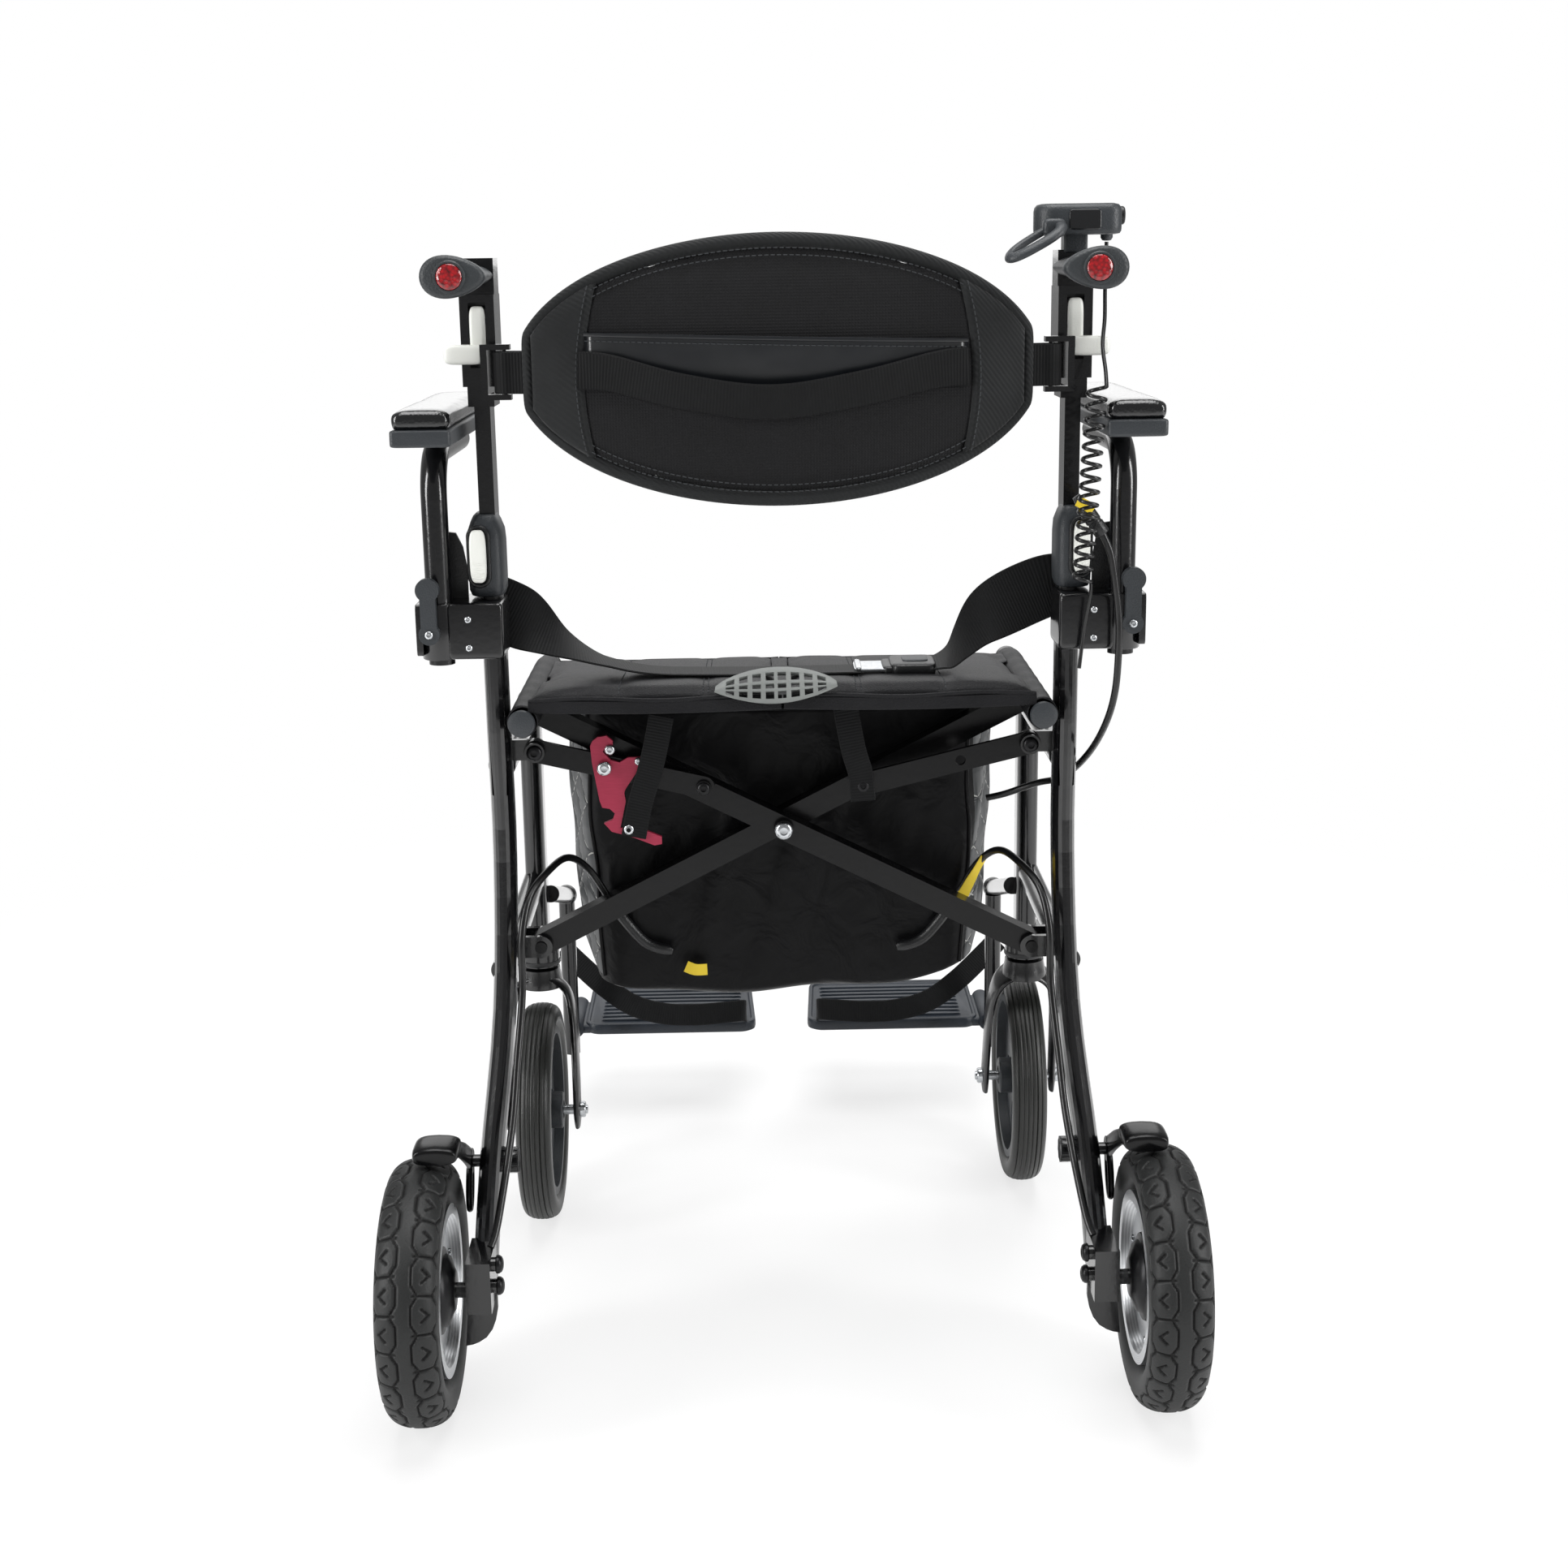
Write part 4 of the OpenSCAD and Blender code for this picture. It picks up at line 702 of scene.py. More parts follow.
# Stage
class CHAIR_OT_stage(bpy.types.Operator):
    """Floor, soft studio light and the camera behind the chair"""

    bl_idname = "chair.stage"
    bl_label = "Stage"

    def execute(self, context):
        scene = context.scene
        scene.view_settings.view_transform = "Standard"
        data = bpy.data.cameras.new("rear_view")
        data.sensor_width = 36.0
        data.lens = 36.0 * 2657.4 / 1932
        camera = bpy.data.objects.new("rear_view", data)
        yaw, pitch, roll = (math.radians(a) for a in (0.718, 13.771, 0.833))
        ahead = Vector((math.sin(yaw) * math.cos(pitch), math.cos(yaw) * math.cos(pitch), -math.sin(pitch)))
        right = Vector((math.cos(yaw), -math.sin(yaw), 0.0))
        down = -right.cross(ahead)
        across = math.cos(roll) * right + math.sin(roll) * down
        below = -math.sin(roll) * right + math.cos(roll) * down
        turn = Matrix((across, -below, -ahead)).transposed()
        camera.matrix_world = Matrix.Translation((-0.0205, -1.8304, 0.8713)) @ turn.to_4x4()
        scene.collection.objects.link(camera)
        scene.camera = camera

        # Matt white floor that glows white to the lens, and keeps the shadow
        white = bpy.data.materials.new("matt_white_floor")
        white.use_nodes = True
        tree = white.node_tree
        tree.nodes.clear()
        rays = add(tree, "ShaderNodeLightPath")
        place = add(tree, "ShaderNodeTexCoord")
        away = add(tree, "ShaderNodeVectorMath", {0: place.outputs["Object"]}, operation="LENGTH")
        # The glow is full from 1.5 m out, so that the floor's far edge is as white as the wall
        glow_at = add(tree, "ShaderNodeMapRange", {"Value": away.outputs["Value"], "From Min": 0.5,
                                                   "From Max": 1.5, "To Min": 0.72, "To Max": 1.0})
        share = add(tree, "ShaderNodeMath", {0: rays.outputs["Is Camera Ray"], 1: glow_at.outputs["Result"]},
                    operation="MULTIPLY")
        matt = add(tree, "ShaderNodeBsdfDiffuse", {"Color": linear("f2f2f2")})
        glow = add(tree, "ShaderNodeEmission", {"Color": linear("ffffff"), "Strength": 1.0})
        both = add(tree, "ShaderNodeMixShader", {0: share.outputs["Value"], 1: matt.outputs["BSDF"],
                                                 2: glow.outputs["Emission"]})
        add(tree, "ShaderNodeOutputMaterial", {"Surface": both.outputs["Shader"]})
        mesh = bpy.data.meshes.new("studio_floor")
        corners = ((-9, -9), (9, -9), (9, 9), (-9, 9))
        mesh.from_pydata([(x, y, -0.0005) for x, y in corners], [], [(0, 1, 2, 3)])
        mesh.materials.append(white)
        floor = bpy.data.objects.new("studio_floor", mesh)
        scene.collection.objects.link(floor)

        world = bpy.data.worlds.new("soft_studio")
        world.use_nodes = True
        scene.world = world
        tree = world.node_tree
        tree.nodes.clear()
        rays = add(tree, "ShaderNodeLightPath")
        level = add(tree, "ShaderNodeMapRange", {"Value": rays.outputs["Is Camera Ray"], "To Min": 0.3,
                                                 "To Max": 1.0})
        sky = add(tree, "ShaderNodeBackground", {"Color": linear("ffffff"),
                                                 "Strength": level.outputs["Result"]})
        add(tree, "ShaderNodeOutputWorld", {"Surface": sky.outputs["Background"]})

        for name, where, size, watts in (
            ("strip_left", (-2.2, -1.2, 1.3), (0.5, 1.9), 44.0),
            ("strip_right", (2.2, -1.1, 1.3), (0.5, 1.9), 40.0),
            ("softbox_top", (0.0, -0.2, 3.0), (2.0, 2.0), 66.0),
            ("softbox_front", (0.0, 2.4, 1.5), (2.6, 1.4), 15.0),
            ("softbox_front_high", (0.7, 2.0, 2.5), (1.2, 1.2), 30.0),
        ):
            lamp = bpy.data.lights.new(name, "AREA")
            lamp.shape = "RECTANGLE"
            lamp.size, lamp.size_y = size
            lamp.energy = watts
            light = bpy.data.objects.new(name, lamp)
            light.location = where
            # The high front light is kept out of reflections
            light.visible_glossy = name != "softbox_front_high"
            light.rotation_mode = "QUATERNION"
            light.rotation_quaternion = (Vector((0, 0, 0.45)) - Vector(where)).to_track_quat("-Z", "Y")
            scene.collection.objects.link(light)
        return {"FINISHED"}


# Cords
CURL_TOP, CURL_END, CURL_RADIUS, CURLS = (231.0, 62.0, 775.5), (226.0, 84.0, 629.5), 6.75, 15
CABLE_LINE = [(230, 94, 681.5), (239, 93, 670), (248, 93, 651), (252, 94, 631), (256, 96, 604),
              (257, 97, 580), (256, 103, 542), (252, 124, 510), (244, 160, 478), (230, 196, 452),
              (212, 224, 440), (188, 238, 428), (172, 240, 424)]
LEAD_LINE = [(232, 6, 134), (227, 20, 150), (219, 66, 205), (216, 96, 250), (212, 118, 300), (211, 124, 345),
             (205, 140, 374), (192, 165, 388), (178, 198, 390), (162, 219, 372), (142, 222, 338),
             (118, 222, 308), (95, 222, 300)]


class CHAIR_OT_cords(bpy.types.Operator):
    """Curly cord, power cable and motor leads, with their plugs and marker tags"""

    bl_idname = "chair.cords"
    bl_label = "Cords"

    def execute(self, context):
        turns = 24
        k = np.arange(CURLS * turns + 1)
        share = (k / k[-1])[:, None]
        curl = np.array(CURL_TOP) * (1 - share) + np.array(CURL_END) * share
        curl[:, 0] += CURL_RADIUS * np.cos(2 * math.pi * k / turns)
        curl[:, 1] += CURL_RADIUS * np.sin(2 * math.pi * k / turns)
        lead = smooth([(249, 146, 877.9), (249, 146, 863.5), (248, 142, 842.5), (245, 122, 822.5),
                       (240, 98, 803.5), (239, 76, 786.5), tuple(curl[0])], 7)[:-1]
        tail = smooth([tuple(curl[-1]), (234, 94, 618), (231, 103, 590), (228, 104, 560)], 7)[1:]
        line = np.vstack([lead, curl, tail])
        cord = build("curly_cord_piece", *tube(line, 1.5, 10, (1, 0, 0)), "cable")
        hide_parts("curly_cord")
        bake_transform(cord)

        line = smooth(CABLE_LINE, 8)
        cable = build("power_cable_piece", *tube(line, 2.75, 14, (0, 1, 0)), "cable", "right_frame")
        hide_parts("power_cable")
        plug = lathe([(3.2, -14), (4.4, -6), (5.4, -2), (6.0, 0), (6.0, 9), (5.4, 9.6), (5.4, 11),
                      (6.0, 11.6), (6.0, 20), (5.2, 21)], CABLE_LINE[0], (0.58, -0.06, -0.81), 32)
        plug = build("power_plug", *plug, "black", "right_frame")

        for name, side in SIDES.items():
            line = smooth(LEAD_LINE, 6) * [side, 1, 1]
            wire = tube(line, 3.0, 12, (0, 1, 0))
            wire = build(name + "_motor_lead_piece", *wire, "cable", name + "_frame")
            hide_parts(name + "_motor_lead")
            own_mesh(wire)
            joint = smooth(LEAD_LINE[-3:], 6) * [side, 1, 1]
            spread = np.linspace(0, 1, len(joint))
            radius = 3.3 + 1.3 * np.clip(np.minimum(spread, 1 - spread) * 7, 0, 1)
            sleeve = build(name + "_lead_sleeve", *tube(joint - [0, 1.2, 0], radius, 14, (0, 1, 0)), "black",
                           name + "_frame")
            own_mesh(sleeve)
        where = {"left": [(-84, 217.5, 287), (-76, 217, 284), (-66, 217.4, 284)],
                 "right": [(168, 214, 380), (160, 213, 366), (152, 214.5, 350), (148, 216, 342)]}
        line = smooth([(222, 89.4, 690), (228, 87.6, 687), (234, 88.6, 683)], 5)
        points, faces, uv = ribbon(line, (0.5, -0.1, 1), 8, 0.7)
        build("cable_marker_tag", points, faces, "tag", "right_frame", uv=uv)
        for name, line in where.items():
            points, faces, uv = ribbon(smooth(line, 5), (0.3, -0.2, 1), 11, 0.7)
            tag = build(name + "_marker_tag", points, faces, "tag", name + "_frame", uv=uv)
            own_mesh(tag)
        return {"FINISHED"}


# Finishes of the shown solids
DRESSED = {
    "enamel": ("main_tube", "side_frame", "armrest", "handle_post"),
    "brace": ("link",),
    "slate": ("cam_lever", "caster_rim"),
    "rim": ("motor_rim",),
}
EDGES = {"handle_post": 2.2, "cam_lever": 2.0, "link": 0.8}


class CHAIR_OT_finishes(bpy.types.Operator):
    """Finishes and soft edges of the solids that stay in view"""

    bl_idname = "chair.finishes"
    bl_label = "Finishes"

    def execute(self, context):
        for name, nodes in DRESSED.items():
            for node in nodes:
                for side in SIDES:
                    dress(side + "_" + node, name, EDGES.get(node, 0.0))
        for bar in ("cross_bar_a", "cross_bar_b"):
            dress(bar, "brace", 1.2)
        dress("latch", "latch", 0.6)
        return {"FINISHED"}


# Wheels
def near_segments(u, v, segments):
    """Least distance of the points (u, v) to any of the segments."""
    best = np.full(u.shape, 1e9)
    for (a, b), (c, d) in segments:
        length = (c - a) ** 2 + (d - b) ** 2
        t = np.clip(((u - a) * (c - a) + (v - b) * (d - b)) / length, 0, 1)
        best = np.minimum(best, np.hypot(u - a - t * (c - a), v - b - t * (d - b)))
    return best


class CHAIR_OT_rear_wheels(bpy.types.Operator):
    """Rear tyres with hexagon lugs, motor covers, hubs and brake shoes"""

    bl_idname = "chair.rear_wheels"
    bl_label = "Rear wheels"

    def execute(self, context):
        radius, half, bead = 101.6, 23.6, 66.0
        cells = sizes().tread_cells
        n = cells * 30
        a = np.radians(np.concatenate([np.linspace(-152, -88, 9)[:-1], np.linspace(-88, 88, 73),
                                       np.linspace(88, 152, 9)[1:]]))
        middle = (radius + bead) / 2 + 1
        rise = np.where(np.cos(a) > 0, radius - middle, middle - bead)
        x = half * np.sign(np.sin(a)) * np.abs(np.sin(a)) ** 0.92
        r = middle + rise * np.sign(np.cos(a)) * np.abs(np.cos(a)) ** 0.82
        arc = np.concatenate([[0], np.cumsum(np.hypot(np.diff(x), np.diff(r)))])
        arc -= arc[len(arc) // 2]
        turn = np.linspace(0, 2 * math.pi, n, endpoint=False)
        pitch = 2 * math.pi * radius / cells
        p = pitch / 2
        lug = [((p, -6), (p, 6)), ((p, -6), (6.5, -11)), ((6.5, -11), (-6.5, -11)), ((-6.5, -11), (-p, -6)),
               ((-p, -6), (-p, 6)), ((p, 6), (6.5, 11)), ((6.5, 11), (-6.5, 11)), ((-6.5, 11), (-p, 6)),
               ((p, -6), (p, -9.5)), ((-p, -6), (-p, -9.5)), ((-5, -3), (0, 3)), ((0, 3), (5, -3))]
        along = turn[None, :] * radius
        across = np.repeat(arc[:, None], n, 1)
        groove = np.zeros(across.shape)
        for band, shift in ((16.5, 0.0), (-16.5, pitch / 2)):
            u = (along + shift) % pitch - p
            v = (across - band) * np.sign(band)
            groove = np.maximum(groove, np.clip(1.35 - near_segments(u, v, lug), 0, 1.1) / 1.1)
        depth = sizes().tread_depth * 1000 * groove
        slope = np.stack([np.gradient(r), -np.gradient(x)], 1)
        slope /= np.linalg.norm(slope, axis=1)[:, None]
        slope = np.abs(slope)
        shown_x = x[:, None] - depth * slope[:, :1] * np.sign(x)[:, None]
        shown_r = r[:, None] - depth * slope[:, 1:]
        for name, side in SIDES.items():
            points = np.stack([(REAR_X + shown_x) * side, shown_r * np.cos(turn),
                               REAR_AXLE_Z + shown_r * np.sin(turn)], 2).reshape(-1, 3)
            faces = strip(len(arc), n)
            faces = flipped(faces) if side > 0 else faces
            # Faces deep in the grooves take the darker rubber: painted shade in the grooves
            groove_shade_faces = np.maximum(groove[:-1], groove[1:])
            groove_shade_faces = np.maximum(groove_shade_faces, np.roll(groove_shade_faces, -1, 1)) > 0.75
            tyre = build(name + "_rear_tyre_piece", points, faces, ["tyre", "groove"], name + "_rear_wheel",
                         shade=groove_shade_faces.ravel(), angle=60)
            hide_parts(name + "_rear_tyre")
            self.brake(name, side)
            centre, out, inward = (REAR_X * side, 0, REAR_AXLE_Z), (side, 0, 0), (-side, 0, 0)
            cover = lathe([(66, 16), (65.5, 22), (63, 25.5), (60, 26.5), (57, 26), (55, 24.6), (40, 26.2),
                           (38, 26.8), (22, 27.6), (20, 28.6), (8, 28.6), (0, 28.6)], centre, out, 96)
            build(name + "_motor_cover", *cover, "rim", name + "_rear_wheel")
            hub = lathe([(34, 12.4), (33, 15), (28, 16.5), (26, 20), (17, 23.4), (15, 24.5), (8, 24.6)],
                        centre, inward, 64)
            build(name + "_hub_cone", *hub, "dark_steel", name + "_rear_wheel")
            bolts = self.bolts((REAR_X + 26.2) * side, 47, 8, 0.0, out, 3.2, 2.0)
            bolts += self.bolts((REAR_X - 13.2) * side, 48, 6, 0.2, inward, 2.8, 1.8)
            build(name + "_motor_bolts", *merge(*bolts), "zinc", name + "_rear_wheel")
        return {"FINISHED"}

    def bolts(self, x, radius, count, first, axis, head, height):
        """Screw heads in a circle round the rear axle."""
        return [screw((x, radius * math.cos(q), REAR_AXLE_Z + radius * math.sin(q)), axis, head, height)
                for q in np.linspace(first, 2 * math.pi + first, count, endpoint=False)]

    def brake(self, name, side):
        """Brake shoe arched over the tyre, on its arm."""
        n, m = 18, 28
        points = []
        for i in range(n + 1):
            a = math.pi * (i / n - 0.5)
            y = 11 + 16 * power(math.sin(a), 0.7)
            lift = 0.25 + 0.75 * abs(math.cos(a)) ** 0.5
            for j in range(m):
                q = 2 * math.pi * j / m
                x = power(math.cos(q), 0.55)
                z = power(math.sin(q), 0.55)
                top = 6.8 * lift + 1.4 * (1 - x * x) * (z > 0)
                points.append((270 + 17.6 * x * (0.7 + 0.3 * lift), y, 212.6 + (top if z > 0 else 5.6) * z))
        shoe = (np.array(points), flipped(capped(n + 1, m)))
        arm = tube(smooth([(255, 8, 214), (254.8, 22, 208), (254.8, 52, 192), (254.8, 82, 173)], 6),
                   np.interp(np.arange(19), [0, 6, 18], [6.0, 6.4, 10.0]), 20, (0, 0.4, 1), False, 0.22)
        eye = lathe([(9.4, -2.2), (10, -1.8), (10, 1.8), (9.4, 2.2)], (254.8, 80, 173.6), (1, 0, 0), 36)
        loop = [(254.8, 72 - 8.1 * math.cos(q) + 6.3 * math.sin(q),
                 156.6 - 17.2 * math.cos(q) - 3.0 * math.sin(q))
                for q in np.linspace(0, 2 * math.pi, 40, endpoint=False)]
        tail = tube(np.array(loop), 2.6, 12, (1, 0, 0), True)
        whole = sided(merge(shoe, arm, eye, tail), side)
        piece = build(name + "_brake_piece", *whole, "brace", name + "_brake")
        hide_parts(name + "_brake")


class CHAIR_OT_casters(bpy.types.Operator):
    """Caster tyres with ribs round them, hub caps, axles, arched forks and head rings"""

    bl_idname = "chair.casters"
    bl_label = "Casters"

    def execute(self, context):
        radius, half, bead = 100.0, 16.0, 78.0
        a = np.radians(np.concatenate([np.linspace(-150, -75, 8)[:-1], np.linspace(-75, 75, 89),
                                       np.linspace(75, 150, 8)[1:]]))
        middle = (radius + bead) / 2
        x = half * np.sign(np.sin(a)) * np.abs(np.sin(a)) ** 0.9
        r = middle + (radius - middle) * np.sign(np.cos(a)) * np.abs(np.cos(a)) ** 0.75
        rib = np.clip(np.abs((x + 40) % 4.2 - 2.1) - 1.25, 0, 0.85) * (np.abs(x) < 13) * (np.cos(a) > 0)
        r = r - 1.3 * rib
        for name, side in SIDES.items():
            axle = np.array([CASTER_X * side, STEM_Y + CASTER_TRAIL * side, CASTER_AXLE_Z])
            tyre = lathe(list(zip(r, x)), axle, (1, 0, 0), 120)
            tyre = (tyre[0], [f for f in tyre[1] if len(f) == 4])
            tyre = build(name + "_caster_tyre_piece", *tyre, "caster_tyre", name + "_caster_wheel", angle=50)
            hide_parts(name + "_caster_tyre")
            parts = [lathe([(17, 17.6), (16, 19), (12, 19.5), (9, 19.4), (8.6, 18.4)], axle, (k, 0, 0), 40)
                     for k in (-1, 1)]
            build(name + "_caster_hub_caps", *merge(*parts), "slate", name + "_caster_wheel")
            ends = [(4.6, 0), (4.6, 34.9), (7.4, 35), (7.4, 38.8), (6.6, 39.8), (4.2, 40), (4, 41.6),
                    (0, 42.2)]
            nuts = [lathe(ends, axle, (k, 0, 0), 24) for k in (-1, 1)]
            build(name + "_caster_axle_nuts", *merge(*nuts), "zinc", name + "_caster")
            self.fork(name, CASTER_X * side, axle)
            ring = lathe([(18.4, 0), (18.9, 0.6), (18.9, 3.4), (18.3, 4)],
                         (CASTER_X * side, STEM_Y, 234.2), (0, 0, 1), 48)
            build(name + "_head_ring", *ring, "black", name + "_frame")
        return {"FINISHED"}

    def fork(self, name, x, axle):
        """Arched fork with legs that stand off the wheel, under a turned crown."""
        # Distance from the wheel's middle, share of the way from the axle to the stem, and height
        leg = [(32, 0.0, 84), (32, 0.0, 104), (31, 0.35, 150), (29, 0.7, 184), (24, 0.95, 205),
               (13, 1.0, 216)]
        arch = leg + [(0, 1.0, 218.5)] + [(-across, share, z) for across, share, z in leg[::-1]]
        line = smooth([(x + across, axle[1] + (STEM_Y - axle[1]) * share, z)
                       for across, share, z in arch], 8)
        last = len(line) - 1
        radii = np.interp(np.arange(last + 1), [0, 6, 0.3 * last, 0.5 * last, 0.7 * last, last - 6, last],
                          [8.5, 12.5, 14, 19, 14, 12.5, 8.5])
        crown = lathe([(17, 0), (20.6, 1), (20.8, 4), (19.6, 9), (18.4, 15), (18, 18.6), (16, 19.6)],
                      (x, STEM_Y, 211), (0, 0, 1), 48)
        whole = merge(tube(line, radii, 24, (0, 1, 0), False, 0.29), crown)
        piece = build(name + "_caster_fork_piece", *whole, "powder", name + "_caster")
        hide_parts(name + "_caster_fork")


# Soft goods
def seat_reach(t):
    """How full half of the seat is at a share of its width, and how far it reaches from its middle line."""
    full = (1 - abs(2 * t - 1) ** (7 if t < 0.5 else 18)) ** 0.5
    return full, 114 - 3 * (1 - full) - 2.5 * math.sin(math.pi * t)


def seat_form(side):
    """Closed form of one half of the seat cushion, lower than its finished height by its swell."""
    n, m = 40, 56
    points = []
    for i in range(n + 1):
        t = i / n
        x = 199.5 + (0.2 - 199.5) * t
        full, half = seat_reach(t)
        channel = sum(math.exp(-((t - c) / 0.02) ** 2) for c in (0.36, 0.7))
        for j in range(m):
            a = -2 * math.pi * j / m
            c = power(math.cos(a), 0.3)
            s = power(math.sin(a), 0.5)
            ahead = (1 + c) / 2
            lift = 6.0 + (3.0 - 2.2 * channel) * full - 7 * ahead if s > 0 else 3.2
            middle = 535 - 9 * ahead * min(1, 4 * full)
            points.append((x, SEAT_Y + half * c, middle + lift * s * (0.55 + 0.45 * full)))
    return sided((np.array(points), capped(n + 1, m)), side)


def on_face(piece, line, way, lift):
    """Moves a line onto the shown face of a piece, looking one way, and lifts it off by millimetres."""
    shown = piece.evaluated_get(bpy.context.evaluated_depsgraph_get())
    way = Vector(way)
    out = []
    for p in line:
        start_at = Vector((p[0] / 1000, (p[1] - Y_MID) / 1000, p[2] / 1000)) - 0.05 * way
        hit, at, _, _ = shown.ray_cast(start_at, way, distance=0.1)
        if hit:
            p = np.array([at.x * 1000, at.y * 1000 + Y_MID, at.z * 1000]) - lift * np.array(way)
        out.append(p)
    return np.array(out)


class CHAIR_OT_seat(bpy.types.Operator):
    """Padded vinyl seat halves with their sleeves, piping and stitches, and the slotted carry grip"""

    bl_idname = "chair.seat"
    bl_label = "Seat"

    def execute(self, context):
        for name, side in SIDES.items():
            body = "seat_" + name
            pad = build("seat_pad_" + name, *seat_form(side), "vinyl")
            swell(pad, 4.5, sizes().seat_swell * 1000)
            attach(pad, body)
            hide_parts(body)
            sleeve = []
            for y in np.linspace(122.5, 349, 24):
                for q in np.linspace(0, 2 * math.pi, 28, endpoint=False):
                    r = 11.2 + 0.5 * math.sin(y * 0.19 + 2 * q) * math.sin(q) ** 2
                    sleeve.append((SEAT_TUBE_X + r * math.cos(q), y, SEAT_TUBE_Z + r * math.sin(q)))
            sleeve = sided((np.array(sleeve), strip(24, 28)), side)
            cover = build("seat_sleeve_" + name, *sleeve, "vinyl", body)
            thicken(cover, 0.8)
            # Hanging lip along the rear edge and piping along both edges
            lip = []
            for x in np.linspace(198, 1, 40):
                droop = 2.0 * math.sin(math.pi * (x - 1) / 197)
                lip.append((x, 121.4, 533.5 - droop))
            points, faces, uv = ribbon(np.array(lip), (0, 0.1, 1), 10.5, 1.6)
            points, faces = sided((points, faces), side)
            edge = build("seat_lip_" + name, points, faces, "vinyl", body, uv=uv)
            rear, front = [], []
            for x in np.linspace(197, 0.5, 30):
                full, half = seat_reach((199.5 - x) / 199.3)
                rear.append((x, 121.8, 538 + 1.2 * math.sin(x * 0.05)))
                front.append((x, SEAT_Y + half, 535 - 9 * min(1, 4 * full)))
            piping = [tube(np.array(q), 1.7, 8, (0, 1, 0)) for q in (rear, front)]
            build("seat_piping_" + name, *sided(merge(*piping), side), "vinyl", body)
            lines = [on_face(pad, [(x * side, y, 542) for y in np.linspace(132, 340, 60)], (0, 0, -1), 0.2)
                     for x in (58, 62, 128)]
            thread = merge(*[stitches(q, 5, 3.2, 0.4) for q in lines])
            build("seat_thread_" + name, *thread, "thread", body)
        # Strip of vinyl under the fold between the halves
        line = np.array([(0, y, 535 - 0.04 * (y - 124)) for y in np.linspace(124, 346, 12)])
        points, faces, uv = ribbon(line, (1, 0, 0), 16, 3.0)
        fold = build("seat_fold_strip", points, faces, "vinyl", "seat_left", uv=uv)
        self.carry_grip()
        for name, side in SIDES.items():
            cap = lathe([(10.6, 0), (10.9, -2), (10.2, -4.2), (7, -5.2), (0, -5.4)],
                        (SEAT_TUBE_X * side, 118, SEAT_TUBE_Z), (0, 1, 0), 36)
            bar = "cross_bar_a" if side > 0 else "cross_bar_b"
            build(name + "_seat_tube_cap", *cap, "slate", bar)
        return {"FINISHED"}

    def carry_grip(self):
        """Lens-shaped grip with rows of slots through it."""
        columns = [0, 5, 9, 16, 20, 27, 31, 38, 42, 49, 52, 59, 63, 70, 74, 81, 85, 92, 96, 101]
        rows = [0, 4, 10.5, 13, 17, 19.5, 26, 30]
        points = []
        for u in columns:
            t = u / columns[-1] * 2 - 1
            arch = 1 - t * t
            low = np.array([-53 + 0.95 * u, 119 - 5 * arch, 543 - 10 * arch + 0.03 * u])
            high = np.array([-52 + 0.93 * u, 122 + 9 * arch, 547 + 11.5 * arch ** 0.8 + 0.03 * u])
            for v in rows:
                share = v / rows[-1]
                points.append(low + (high - low) * share - [0, 3.0 * math.sin(math.pi * share), 0])
        m = len(rows)
        faces = [
            (i * m + j, (i + 1) * m + j, (i + 1) * m + j + 1, i * m + j + 1)
            for i in range(len(columns) - 1) for j in range(m - 1)
            if not (i % 2 == 0 and 0 < i < len(columns) - 2 and j in (1, 3, 5))
        ]
        grip = build("carry_grip_piece", points, faces, "grey")
        thicken(grip, 4.5)
        edge = grip.modifiers.new("Soft edges", "BEVEL")
        edge.width = 0.0009
        edge.segments = 2
        edge.limit_method = "ANGLE"
        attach(grip, "seat_left")
        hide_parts("carry_grip")


# Half of the backrest's height at its middle
BACK_HIGH = 92.5


def back_middle(x):
    """Depth of the backrest's middle layer at that distance from the centre."""
    return 105 - 35 * (1 - (x / 203) ** 2)


def back_rim(x):
    """Half of the backrest's height at that distance from the centre."""
    return BACK_HIGH * (1 - min(abs(x) / 190.0, 1) ** 2) ** 0.5


def back_rear(x, z):
    """Depth of the rear face of the backrest."""
    high = max(back_rim(x), 16)
    t = 9.6 * (0.45 + 0.55 * (high / BACK_HIGH) ** 0.6)
    return back_middle(x) - t * (1 - min(abs(z - BACK_Z) / high, 1) ** 6) ** 0.5


def back_bend(piece):
    """Bakes a backrest piece's placement into its mesh."""
    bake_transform(piece)


